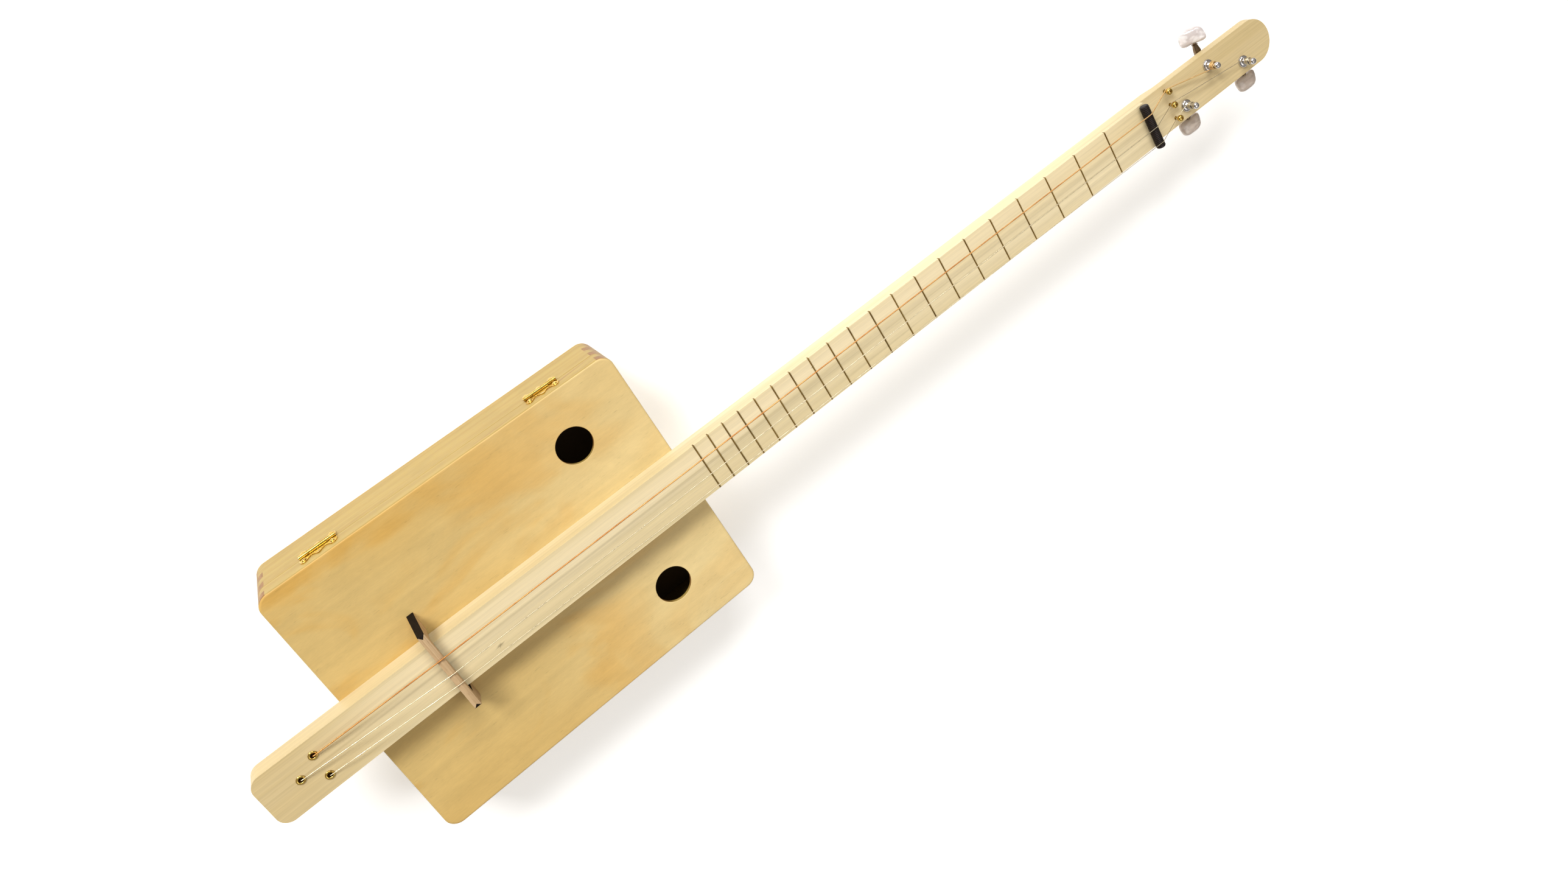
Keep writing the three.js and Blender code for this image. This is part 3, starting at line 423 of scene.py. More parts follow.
def poplar():
    """Cream poplar with grey-green streaks and small pin knots, under thin lacquer."""
    s = Shader("poplar", Specular_IOR_Level=0.3, Coat_Weight=0.06, Coat_Roughness=0.3)
    place = s.place
    x, y, _ = s.split(place)
    normal_x, normal_y = (s.size(part) for part in s.split(s.normal)[:2])
    streaks = s.noise(place, (2.4, 150, 110), detail=3, roughness=0.55, distortion=0.25,
                      shift=(0, 3, 1))
    lines = s.noise(place, (5, 640, 520), detail=2, roughness=0.6, shift=(4, 0, 2))
    broad = s.noise(place, (1.6, 45, 40), detail=2, shift=(1, 4, 2))
    bands = s.noise(place, (1.3, 260, 120), detail=2, shift=(6, 2, 8))
    fibres = s.noise(place, (45, 1700, 1700), detail=2)
    dashes = s.ramp(s.noise(place, (60, 1500, 1500), detail=1, shift=(2, 9, 4)), 0.68, 0.78)
    colour = s.mix(s.ramp(broad, 0.3, 0.7), linear(236, 220, 181), linear(228, 209, 163))
    colour = s.mix(s.ramp(streaks, 0.48, 0.68, 0, 0.5), colour, linear(208, 190, 142))
    colour = s.mix(s.ramp(bands, 0.58, 0.74, 0, 0.4), colour, linear(180, 163, 120))
    # Painted shade on the side faces: a little along the neck, more on the head
    painted_side_shade = s.times(s.ramp(normal_y, 0.3, 0.9), s.ramp(x, 0.45, 0.62, 0.03, 0.13))
    colour = s.toned(colour, s.unless(painted_side_shade))
    # Painted shade towards the head and towards the tail end
    painted_end_shade = s.maths("MAXIMUM", s.ramp(x, 0.5, 0.68), s.ramp(x, -0.08, -0.17))
    colour = s.mix(s.times(painted_end_shade, 0.6), colour, linear(194, 168, 114))
    shade = s.times(s.ramp(fibres, 0.25, 0.75, 0.965, 1.02), s.ramp(dashes, 0, 1, 1, 0.9),
                    s.ramp(lines, 0.25, 0.7, 1.03, 0.93))
    colour = s.toned(colour, shade)

    knots = 0.0
    for knot_x, knot_y, reach in KNOTS:
        across = s.maths("SUBTRACT", y, knot_y)
        along = s.maths("SUBTRACT", x, knot_x)
        for turn, narrow, wide, depth in KNOT_MARKS:
            cosine, sine = math.cos(turn) / reach, math.sin(turn) / reach
            first = s.maths("ADD", s.times(along, cosine / wide), s.times(across, sine / wide))
            second = s.maths("SUBTRACT", s.times(across, cosine / narrow),
                             s.times(along, sine / narrow))
            mark = s.ramp(s.distance(first, second), 1, 0.1, 0, depth)
            knots = s.maths("MAXIMUM", knots, mark)
    colour = s.mix(knots, colour, linear(104, 88, 60))

    rings = s.noise(place, (3, 300, 700), detail=3, distortion=0.5)
    end = s.mix(s.ramp(rings, 0.35, 0.65), linear(200, 176, 124), linear(172, 144, 94))
    colour = s.mix(s.ramp(normal_x, 0.6, 0.95, 0, 0.9), colour, end)
    height = s.maths("ADD", s.times(fibres, 0.6), s.times(streaks, 0.4))
    return s.finish(colour, s.ramp(fibres, 0.2, 0.8, 0.4, 0.54), s.bump(height, 0.25, 0.0002))


def bridge_wood():
    """Bare pinkish hardwood, its grain across the neck, darkened by the burn at both ends."""
    s = Shader("bridge_wood", Specular_IOR_Level=0.12)
    place = s.place
    _, normal_y, normal_z = s.split(s.normal)
    lines = s.noise(place, (900, 14, 420), detail=3, roughness=0.6, distortion=0.4)
    pores = s.noise(place, (2600, 190, 2600), detail=1)
    colour = s.mix(s.ramp(lines, 0.3, 0.72), linear(207, 178, 139), linear(182, 151, 111))
    colour = s.mix(s.ramp(pores, 0.62, 0.75, 0, 0.4), colour, linear(140, 104, 72))
    soot = s.maths("MAXIMUM", s.ramp(s.size(normal_y), 0.12, 0.26), s.ramp(normal_z, -0.5, -0.8))
    colour = s.mix(s.times(soot, 0.99), colour, linear(15, 6, 4))
    height = s.maths("ADD", lines, s.times(pores, 0.5))
    return s.finish(colour, s.ramp(lines, 0.3, 0.7, 0.5, 0.65), s.bump(height, 0.35, 0.0003))


def polished(name, bright, worn, roughness, scratches=0.25):
    """Metal with fine random scratches and slightly duller patches."""
    s = Shader(name, Metallic=1.0)
    place = s.place
    patch = s.noise(place, (160, 160, 160), detail=4, roughness=0.6)
    scratch = s.noise(place, (900, 5200, 2400), detail=2, roughness=0.7, distortion=1.5)
    colour = s.mix(s.ramp(patch, 0.42, 0.72), bright, worn)
    rough = s.ramp(patch, 0.3, 0.75, roughness, roughness * 1.9)
    return s.finish(colour, rough, s.bump(scratch, scratches, 0.00004))


def aged_fret():
    """Fret wire gone brown, with a painted highlight along the top of its crown."""
    s = Shader("aged_fret_wire", Metallic=1.0)
    place = s.place
    patch = s.noise(place, (300, 90, 300), detail=3, roughness=0.6)
    # Painted highlight on the upward faces of the crown
    crown = s.ramp(s.split(s.normal)[2], 0.75, 0.98)
    colour = s.mix(s.ramp(patch, 0.35, 0.7), linear(150, 122, 66), linear(112, 86, 46))
    colour = s.mix(s.times(crown, 0.25), colour, linear(206, 184, 124))
    return s.finish(colour, s.ramp(patch, 0.3, 0.7, 0.26, 0.42), s.bump(patch, 0.2, 0.00004))


def black_oxide():
    """Blackened steel, worn to brown in patches."""
    s = Shader("black_oxide", Metallic=0.55, Specular_IOR_Level=0.5)
    grime = s.noise(s.place, (700, 700, 700), detail=4, roughness=0.65)
    colour = s.mix(s.ramp(grime, 0.4, 0.75), linear(25, 17, 15), linear(52, 37, 30))
    return s.finish(colour, s.ramp(grime, 0.3, 0.7, 0.38, 0.62), s.bump(grime, 0.3, 0.0001))


def pearloid():
    """Glossy cloudy plastic. The button on the hinge side is cool white, the others are warmer."""
    s = Shader("pearloid", Coat_Weight=0.6, Coat_Roughness=0.08, Specular_IOR_Level=0.5,
               Subsurface_Weight=0.2, Subsurface_Radius=(0.003, 0.002, 0.0016))
    place = s.place
    swirl = s.noise(place, (90, 150, 90), detail=2, roughness=0.4, distortion=1.4)
    cloud = s.ramp(swirl, 0.34, 0.68)
    fine = s.noise(place, (420, 420, 420), detail=1)
    warm = s.mix(cloud, linear(188, 172, 160), linear(214, 200, 188))
    cool = s.mix(cloud, linear(202, 192, 190), linear(234, 228, 227))
    colour = s.mix(s.maths("GREATER_THAN", s.split(place)[1], 0), warm, cool)
    colour = s.toned(colour, s.ramp(fine, 0.3, 0.7, 0.97, 1.02))
    return s.finish(colour, s.ramp(swirl, 0.3, 0.7, 0.16, 0.24))


def wound_wire():
    """Bronze wrap wire, its turns a fraction of a millimetre apart along the string."""
    s = Shader("wound_bronze", Metallic=1.0)
    along = s.add("Attribute", attribute_name="along").outputs["Fac"]
    wraps = s.maths("SINE", s.times(along, TURN / (WRAP_PITCH * MM)))
    place = s.place
    tone = s.noise(place, (60, 60, 60), detail=3)
    colour = s.mix(s.ramp(tone, 0.35, 0.7), linear(230, 172, 104), linear(200, 134, 74))
    clean = s.ramp(s.split(place)[0], 0.5, 0.62, 0, 0.8)
    colour = s.mix(clean, colour, linear(243, 208, 146))
    return s.finish(colour, s.ramp(tone, 0.3, 0.7, 0.3, 0.42), s.bump(wraps, 0.4, 0.00005))


MATERIALS = {
    "box_wood": pine(),
    "neck_wood": poplar(),
    "bridge_wood": bridge_wood(),
    "brass": polished("polished_brass", linear(222, 190, 106), linear(192, 156, 76), 0.11),
    "chrome": polished("bright_chrome", linear(214, 212, 214), linear(196, 192, 194), 0.06, 0.1),
    "black_steel": black_oxide(),
    "nickel": polished("aged_nickel", linear(122, 102, 80), linear(82, 66, 50), 0.22),
    "pearloid": pearloid(),
    "bronze": wound_wire(),
    "plain_steel": polished("drawn_steel", linear(226, 214, 184), linear(202, 188, 156), 0.24),
}
FRET_METAL = aged_fret()


# Meshes. A form is a list of points in millimetres and a list of faces.

def polar(radius, angle, height):
    return Vector((radius * math.cos(angle), radius * math.sin(angle), height))


def arc(middle, reach, first, last, step):
    """Pairs along an elliptical arc, its angles in whole degrees."""
    return [
        (middle[0] + reach[0] * math.cos(angle), middle[1] + reach[1] * math.sin(angle))
        for angle in (math.radians(degrees) for degrees in range(first, last + 1, step))
    ]


def skin(rings, closed=False):
    """A skin over rings of points. The ends are capped unless the rings come round again to
    the first one."""
    sides = len(rings[0])
    points = [point for ring in rings for point in ring]
    faces = []
    spans = len(rings) if closed else len(rings) - 1
    for level in range(spans):
        low = level * sides
        high = (level + 1) % len(rings) * sides
        for side in range(sides):
            after = (side + 1) % sides
            faces.append((low + side, low + after, high + after, high + side))
    if not closed:
        faces.append(tuple(reversed(range(sides))))
        faces.append(tuple(range(len(points) - sides, len(points))))
    return points, faces


def turned(profile, segments, closed=False):
    """A profile of (radius, height) pairs turned about +Z, from the bottom up."""
    rings = [
        [polar(radius, TURN * i / segments, height) for i in range(segments)]
        for radius, height in profile
    ]
    return skin(rings, closed)


def tube(points, radius, sides):
    """A round tube through points, its section carried along without twist."""
    across = X_AXIS.copy()
    if abs((points[1] - points[0]).normalized().dot(across)) > 0.7:
        across = Z_AXIS.copy()
    rings = []
    for index, point in enumerate(points):
        before = points[max(index - 1, 0)]
        after = points[min(index + 1, len(points) - 1)]
        along = ((point - before).normalized() + (after - point).normalized()).normalized()
        across = (across - along * across.dot(along)).normalized()
        up = along.cross(across)
        angles = (TURN * i / sides for i in range(sides))
        rings.append([
            point + radius * (math.cos(angle) * across + math.sin(angle) * up) for angle in angles
        ])
    return skin(rings)


def moved(form, matrix):
    points, faces = form
    return [matrix @ Vector(point) for point in points], faces


def together(*forms):
    points = []
    faces = []
    for form_points, form_faces in forms:
        start = len(points)
        points.extend(form_points)
        faces.extend(tuple(start + index for index in face) for face in form_faces)
    return points, faces


def shaded(work, name, sharp_angle):
    """The mesh of a finished bmesh, smooth but for its sharp edges."""
    mesh = bpy.data.meshes.new(name)
    work.to_mesh(mesh)
    work.free()
    mesh.shade_smooth()
    mesh.set_sharp_from_angle(angle=math.radians(sharp_angle))
    return mesh


def settle(piece, body, slot, nodes=(), material=None):
    """Puts a finished piece on its body, with the material of its slot or the one given, and hides
    the CAD nodes it takes the place of.
    """
    piece.data.materials.clear()
    piece.data.materials.append(material or MATERIALS[slot])
    even = piece.modifiers.new("even_normals", "WEIGHTED_NORMAL")
    even.keep_sharp = True
    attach(piece, body)
    if nodes:
        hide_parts(*nodes)
    return piece


def build(name, form, body, slot, nodes=(), sharp_angle=35, material=None):
    """A piece made from a form."""
    points, faces = form
    work = bmesh.new()
    corners = [work.verts.new(Vector(point) * MM) for point in points]
    for face in faces:
        work.faces.new([corners[index] for index in face])
    bmesh.ops.remove_doubles(work, verts=work.verts, dist=WELD)
    bmesh.ops.recalc_face_normals(work, faces=work.faces)
    piece = placed(name, shaded(work, name, sharp_angle))
    return settle(piece, body, slot, nodes, material)


def dressed(node, name, eases=(), sharp_angle=35, ring=False):
    """A finer piece from a CAD node: flat facets are joined, and the chosen edges are eased.
    Each ease is (width, segments, test), and test gets the middle of an edge in millimetres.
    A ring of walls keeps a seam across the middle of each wall, so that no face goes round it."""
    work = bmesh.new()
    work.from_mesh(frame["nodes"][node].data)
    bmesh.ops.remove_doubles(work, verts=work.verts, dist=2 * WELD)
    for normal in (X_AXIS, Y_AXIS) if ring else ():
        everything = [*work.verts, *work.edges, *work.faces]
        cut = bmesh.ops.bisect_plane(work, geom=everything, dist=WELD,
                                     plane_co=(0, 0, 0), plane_no=normal)
        for part in cut["geom_cut"]:
            if isinstance(part, bmesh.types.BMEdge):
                part.seam = True
    bmesh.ops.dissolve_limit(work, angle_limit=math.radians(FLAT_ANGLE), verts=work.verts,
                             edges=work.edges, delimit={"SEAM"})
    for width, segments, test in eases:
        chosen = [
            edge for edge in work.edges
            if len(edge.link_faces) == 2 and edge.calc_face_angle() > math.radians(sharp_angle)
            and test(*((edge.verts[0].co + edge.verts[1].co) / (2 * MM)))
        ]
        bmesh.ops.bevel(work, geom=chosen, offset=width * MM, segments=segments, profile=0.5,
                        affect="EDGES", clamp_overlap=True)
    mesh = shaded(work, name, sharp_angle)
    for polygon in mesh.polygons:
        polygon.use_smooth = polygon.area < FLAT_AREA
    return settle(placed(name, mesh), bodies[node], slots[node], (node,))


def carved(form, *tools):
    """A form with tools cut out of it by exact booleans."""
    def temporary(shape):
        mesh = bpy.data.meshes.new("temporary")
        mesh.from_pydata([tuple(point) for point in shape[0]], [], shape[1])
        return placed("temporary", mesh)

    body = temporary(form)
    cutters = [temporary(tool) for tool in tools]
    for cutter in cutters:
        cut = body.modifiers.new("cut", "BOOLEAN")
        cut.object = cutter
        cut.operation = "DIFFERENCE"
        cut.solver = "EXACT"
    result = body.evaluated_get(bpy.context.evaluated_depsgraph_get()).to_mesh()
    points = [vertex.co.copy() for vertex in result.vertices]
    faces = [tuple(polygon.vertices) for polygon in result.polygons]
    for thing in (body, *cutters):
        bpy.data.objects.remove(thing)
    return points, faces


# Box, soundboard and hinges

def near(value, target, reach=0.05):
    return abs(value - target) < reach


def on_outside(x, y):
    return abs(x) > BOX_HALF_LENGTH - WALL or abs(y) > BOX_HALF_WIDTH - WALL


def make_box():
    hole_x, hole_y, hole_radius = SOUND_HOLE

    def at_hole(x, y, z):
        return near(math.hypot(x - hole_x, abs(y) - hole_y), hole_radius, 1)

    at_seam = [(0.45, 3, lambda x, y, z: near(z, SEAM, 0.3))]
    dressed("bottom_panel", "box_bottom", [(0.8, 3, lambda x, y, z: near(z, 0))])
    dressed("box_sides", "box_tray", at_seam, ring=True)
    dressed("lid_sides", "box_lid", at_seam, ring=True)
    dressed("soundboard", "box_top", [
        (1.5, 4, lambda x, y, z: near(z, BOX_HEIGHT) and on_outside(x, y)),
        (0.35, 2, at_hole),
    ])


def make_hinges():
    def outer_edge(x, y, z):
        return near(y, HINGE_LEAF_FACE, 0.02) and not near(z, SEAM, 1.8)

    dome = arc((0, 0), (NAIL_RADIUS, NAIL_HEIGHT), 0, 75, 15)
    nail = turned([*dome, (0.05, NAIL_HEIGHT)], 24)
    outwards = Matrix.Rotation(-math.pi / 2, 4, "X")
    for hinge, x in HINGE_PLACES.items():
        for leaf, side in (("box_leaf", -1), ("lid_leaf", 1)):
            node = f"{hinge}_{leaf}"
            dressed(node, f"{node}_brass", [(0.14, 2, outer_edge)])
            nails = [
                moved(nail, Matrix.Translation((x + across, HINGE_LEAF_FACE, SEAM + side * away))
                      @ outwards)
                for across, away in NAIL_PLACES
            ]
            build(f"{node}_nails", together(*nails), bodies[node], "brass")


# Neck, frets, nut and bridge

def make_neck():
    def long_edge(x, y, z):
        return near(abs(y), NECK_HALF) and x < HEAD_STEP and near(z, NECK_TOP)

    def head_edge(x, y, z):
        return x > HEAD_STEP + 1 and near(z, HEAD_FACE) and math.hypot(
            max(x - HEAD_END + NECK_HALF, 0), y) > NECK_HALF - 0.8

    def tail_edge(x, y, z):
        return x < NECK_TAIL + 9 and (near(z, NECK_TOP) or near(z, NECK_BOTTOM))

    def lower_edge(x, y, z):
        return near(abs(y), NECK_HALF) and near(z, NECK_BOTTOM)

    dressed("neck", "neck_stick", [
        (1.5, 5, lambda *p: long_edge(*p) or head_edge(*p)),
        (0.7, 3, lambda *p: tail_edge(*p) or lower_edge(*p)),
    ], sharp_angle=30)


def make_frets():
    crown = arc((0, 0), (FRET_HALF_WIDTH, FRET_HEIGHT), 0, 180, 18)
    section = [(-FRET_TANG_HALF, 0), (-FRET_TANG_HALF, -FRET_TANG_DEPTH),
               (FRET_TANG_HALF, -FRET_TANG_DEPTH), (FRET_TANG_HALF, 0), *crown]
    ends = ((NECK_HALF, 0.12), (NECK_HALF - 0.25, 0.6), (NECK_HALF - 0.7, 1))
    stations = [(-y, rise) for y, rise in ends] + [(y, rise) for y, rise in reversed(ends)]
    for number in range(1, FRETS + 1):
        x = NUT_LINE - SCALE_LENGTH * (1 - 2 ** (-number / 12))
        rings = [
            [Vector((x + across, y, NECK_TOP + up * (rise if up > 0 else 1)))
             for across, up in section]
            for y, rise in stations
        ]
        build(f"fret_{number:02d}_wire", skin(rings), "lid", "brass", (f"fret_{number:02d}",),
              material=FRET_METAL)


def make_nut():
    """The threaded rod: every ring of points is shifted along the thread, so the crest winds
    round as it does on a real screw. It fades out over the chamfered ends."""
    segments = 40
    steps_a_pitch = 8
    half = NUT_LENGTH / 2
    count = round(NUT_LENGTH / THREAD_PITCH * steps_a_pitch)
    rings = []
    for step in range(count + 1):
        y = -half + NUT_LENGTH * step / count
        room = half - abs(y)
        cut = max(NUT_CHAMFER - room, 0)
        limit = NUT_RADIUS - NUT_CHAMFER + math.sqrt(max(NUT_CHAMFER ** 2 - cut ** 2, 0))
        ring = []
        for side in range(segments):
            angle = TURN * side / segments
            phase = (y / THREAD_PITCH - side / segments) % 1
            crest = min(max(abs(phase - 0.5) * 2.6 - 0.35, 0), 1)
            radius = min(NUT_RADIUS - THREAD_DEPTH * crest, limit)
            ring.append(Vector((
                NUT_ROD[0] + radius * math.cos(angle),
                NUT_ROD[1] + y,
                NUT_ROD[2] - radius * math.sin(angle),
            )))
        rings.append(ring)
    build("nut_threaded_rod", skin(rings), "lid", "black_steel", ("nut_rod",), sharp_angle=50)


def make_bridge():
    above_neck = [(0.12, 1, lambda x, y, z: z > NECK_BOTTOM + 0.5)]
    dressed("bridge", "bridge_board", above_neck, sharp_angle=12)


# Screws with cross recesses, and eyelets

def cross_recess(size, top, depth):
    """Two tapered blades that cut a cross recess into a head."""
    arm = size * 0.21
    wide = [(-size, -arm), (size, -arm), (size, arm), (-size, arm)]
    narrow = [(x * 0.35, y * 0.7) for x, y in wide]
    blade = skin([
        [Vector((x, y, top - depth)) for x, y in narrow],
        [Vector((x, y, top + 1)) for x, y in wide],
    ])
    return [moved(blade, Matrix.Rotation(turn, 4, "Z")) for turn in (0, math.pi / 2)]


def domed_screw(head_radius, head_height, shank):
    """A pan-head screw with its head's underside at height 0."""
    middle = (0.42 * head_radius, 0.36 * head_height)
    reach = (0.58 * head_radius, 0.64 * head_height)
    profile = [
        (head_radius * 0.45, -shank), (head_radius * 0.45, 0), (head_radius * 0.95, 0),
        *arc(middle, reach, 0, 90, 10),
    ]
    recess = cross_recess(head_radius * 0.62, head_height, head_height * 0.55)
    return carved(turned(profile, 36), *recess)


def make_retainers():
    """Round-head screws, threaded as the nut is. Each is turned its own way."""
    head = domed_screw(RETAINER_HEAD_RADIUS, RETAINER_HEAD_HEIGHT, 0)
    head = moved(head, Matrix.Translation((0, 0, RETAINER_LIFT)))
    segments = 24
    steps = 84
    rings = []
    for step in range(steps + 1):
        height = -RETAINER_DEPTH + step * (RETAINER_LIFT + RETAINER_DEPTH) / steps
        ring = []
        for side in range(segments):
            phase = (height / RETAINER_PITCH - side / segments) % 1
            radius = RETAINER_SHANK - RETAINER_THREAD_DEPTH * min(abs(phase - 0.5) * 3, 1)
            ring.append(polar(radius, TURN * side / segments, height))
        rings.append(ring)
    screw = together(head, skin(rings))
    for index, y in enumerate(RETAINER_Y):
        node = f"string_retainer_{index + 1}"
        place = Matrix.Translation((RETAINER_X, y, HEAD_FACE))
        turn = Matrix.Rotation(0.5 + index * 0.9, 4, "Z")
        build(f"{node}_screw", moved(screw, place @ turn), "lid", "brass", (node,))


def make_neck_screws():
    """The screws that hold the neck, their heads up against the underside of the soundboard."""
    screw = domed_screw(head_radius=3.2, head_height=2.1, shank=1)
    for index, (x, y) in enumerate(NECK_SCREWS):
        place = Matrix.Translation((x, y, BOX_HEIGHT - PANEL)) @ Matrix.Rotation(math.pi, 4, "X")
        turn = Matrix.Rotation(0.7 * index, 4, "Z")
        build(f"neck_screw_{index + 1}", moved(screw, place @ turn), "lid", "nickel")


def make_eyelets():
    half = EYELET_HEIGHT / 2
    bead = arc((EYELET_BORE + EYELET_BEAD, half), (EYELET_BEAD, half), -90, 180, 30)
    profile = [(EYELET_BORE, -EYELET_DEPTH), (EYELET_TUBE, -EYELET_DEPTH), (EYELET_TUBE, 0), *bead]
    for index, (x, y) in enumerate(EYELET_PLACES):
        node = f"string_eyelet_{index + 1}"
        form = moved(turned(profile, 40, closed=True), Matrix.Translation((x, y, NECK_TOP)))
        build(f"{node}_brass", form, "lid", "brass", (node,))


# Strings and their turns on the posts

PostRun = namedtuple("PostRun", "start post touch along lead heading turn radius")


def string_fall(index):
    """The slope of a string from the nut down to its retainer."""
    seat = STRING_RADII[index] + STRING_SEAT
    drop = NUT_ROD[2] + NUT_RADIUS + seat - (HEAD_FACE + RETAINER_LIFT - seat)
    return drop / (RETAINER_X - RETAINER_HEAD_RADIUS - NUT_ROD[0])


def string_on_post(index):
    """The run of a string from its retainer on to its post."""
    radius = WAIST_RADIUS + STRING_SEAT + STRING_RADII[index]
    turn = TUNER_SIDES[index]
    start = Vector((
        RETAINER_X,
        RETAINER_Y[index] + RETAINER_SHANK + STRING_RADII[index] + RETAINER_PLAY,
        HEAD_FACE + RETAINER_LIFT - STRING_RADII[index] - STRING_SEAT
        - RETAINER_HEAD_RADIUS * string_fall(index),
    ))
    post = Vector((*TUNER_PLACES[index], HEAD_FACE + WINDING_START))
    away = post - start
    distance = math.hypot(away.x, away.y)
    heading = math.atan2(away.y, away.x) - turn * math.asin(radius / distance)
    touch = post + Vector((turn * math.sin(heading), -turn * math.cos(heading), 0)) * radius
    swept_out = radius + STRING_RADII[index] + STRING_JOINT
    swept_in = radius - STRING_RADII[index]
    lead = math.sqrt(swept_out ** 2 - swept_in ** 2)
    return PostRun(start, post, touch, (touch - start).normalized(), lead, heading, turn, radius)


def soft_bend(before, corner, after, reach, steps=6):
    """A curve that rounds a corner of a string's way."""
    start = corner + (before - corner).normalized() * reach
    end = corner + (after - corner).normalized() * reach
    return [
        start * (1 - t) ** 2 + corner * 2 * t * (1 - t) + end * t ** 2
        for t in (step / steps for step in range(steps + 1))
    ]


def string_route(index):
    """The way of a string from its ball, over the eyelet, bridge and nut, to its post."""
    radius = STRING_RADII[index]
    x, y = EYELET_PLACES[index]
    ball = Vector((x, y, NECK_BOTTOM - STRING_JOINT - BALL_HEIGHT / 2))
    lip = Vector((x, y, NECK_TOP + EYELET_HEIGHT + radius + STRING_SEAT))
    ridge = Vector((BRIDGE_X, STRING_AT_BRIDGE[index], BRIDGE_RIDGE + radius + STRING_SEAT))
    run = string_on_post(index)
    wrap = NUT_RADIUS + radius + STRING_SEAT
    crest = NUT_ROD[0] + wrap * math.tan(math.atan(string_fall(index)) / 2)
    nut = Vector((crest, STRING_AT_NUT[index], NUT_ROD[2] + wrap))
    end = run.touch - run.along * run.lead
    reach = 2 * radius
    return [
        ball, *soft_bend(ball, lip, ridge, reach), *soft_bend(lip, ridge, nut, reach),
        *soft_bend(ridge, nut, run.start, reach), *soft_bend(nut, run.start, end, reach), end,
    ]


def winding_route(index, steps_a_turn=40):
    """The turns of a string on its post."""
    run = string_on_post(index)
    pitch = 2 * STRING_RADII[index] + WINDING_PLAY
    points = [run.touch + run.along * (STRING_JOINT - run.lead)]
    first_angle = run.heading - run.turn * math.pi / 2
    for step in range(round(WINDING_TURNS * steps_a_turn) + 1):
        share = step / steps_a_turn
        angle = first_angle + run.turn * TURN * share
        points.append(run.post + polar(run.radius, angle, pitch * share))
    last = points[-1] - points[-2]
    points.append(points[-1] + last.normalized() * 2 * STRING_RADII[index])
    return points


def mark_length(piece, points, sides):
    """Stores the length along a tube at each of its points, for the wrap wire's turns."""
    lengths = [0.0]
    for before, after in zip(points, points[1:]):
        lengths.append(lengths[-1] + (after - before).length * MM)
    along = piece.data.attributes.new("along", "FLOAT", "POINT")
    for index in range(len(points) * sides):
        along.data[index].value = lengths[index // sides]


def make_strings():
    sides = 12
    for index in range(len(STRING_RADII)):
        number = index + 1
        for label, route in (("string", string_route(index)), ("winding", winding_route(index))):
            node = f"{label}_{number}"
            wire = build(f"{node}_wire", tube(route, STRING_RADII[index], sides),
                         bodies[node], slots[node], (node,), sharp_angle=60)
            if slots[node] == "bronze":
                mark_length(wire, route, sides)
        x, y = EYELET_PLACES[index]
        low = NECK_BOTTOM - STRING_JOINT - BALL_HEIGHT
        waist = BALL_RADIUS * 0.72
        rim = BALL_RADIUS * 0.8
        spool = [(rim, 0), (BALL_RADIUS, 0.25), (BALL_RADIUS, 0.65), (waist, 0.95),
                 (waist, 1.45), (BALL_RADIUS, 1.75), (BALL_RADIUS, 2.15), (rim, BALL_HEIGHT)]
        ball = moved(turned(spool, 24), Matrix.Translation((x, y, low)))
        build(f"string_{number}_ball", ball, "lid", "brass", (f"string_{number}",))


# Tuners

def bean(turn):
    """A kidney-shaped button about its shaft, drawn about +Y: rings that close in on the middle
    of each broad face, with a rounded rim."""
    outline = [
        (-0.5, 0), (-0.82, 0.02), (-1, 0.12), (-1.04, 0.32), (-1, 0.55), (-0.88, 0.84),
        (-0.6, 0.99), (-0.3, 1.03), (0, 1.04), (0.3, 1.03), (0.6, 0.99), (0.88, 0.84),
        (1, 0.55), (1.04, 0.32), (1, 0.12), (0.82, 0.02), (0.5, 0), (0.25, 0.03),
        (0, 0.045), (-0.25, 0.03),
    ]
    widest = 1.04
    fine = 4
    count = len(outline)
    smooth = []
    for index in range(count):
        a, b, c, d = (Vector(outline[(index + k) % count]) for k in (-1, 0, 1, 2))
        for part in range(fine):
            t = part / fine
            smooth.append(0.5 * (2 * b + (c - a) * t + (2 * a - 5 * b + 4 * c - d) * t ** 2
                                 + (3 * b - a - 3 * c + d) * t ** 3))
    half_length = BUTTON_LENGTH / 2 / widest
    depth = BUTTON_DEPTH / widest
    centre = Vector((0, 0.52))
    half = BUTTON_THICKNESS / 2
    shares = (0, 0.15, 0.3, 0.45, 0.58, 0.7, 0.8, 0.88, 0.94, 0.98, 1)
    above = [(share, half * (1 - share ** 3.4) ** 0.5) for share in shares]
    levels = [(share, -height) for share, height in above] + above[-2::-1]
    rings = []
    for share, height in levels:
        ring = []
        for point in smooth:
            p = centre + (point - centre) * max(share, 0.01)
            ring.append(Vector((p.x * half_length, BUTTON_START + p.y * depth, height)))
        rings.append(ring)
    return moved(skin(rings), Matrix.Rotation(math.radians(turn), 4, "Y"))


def bushing():
    """A domed ferrule, closed round its bore."""
    bore = 3.1
    dome = arc((bore, 0.5), (2.2, 2.3), 0, 90, 9)
    return turned([(bore, -6), (4, -6), (4, 0), (5.2, 0), *dome], 40, closed=True)


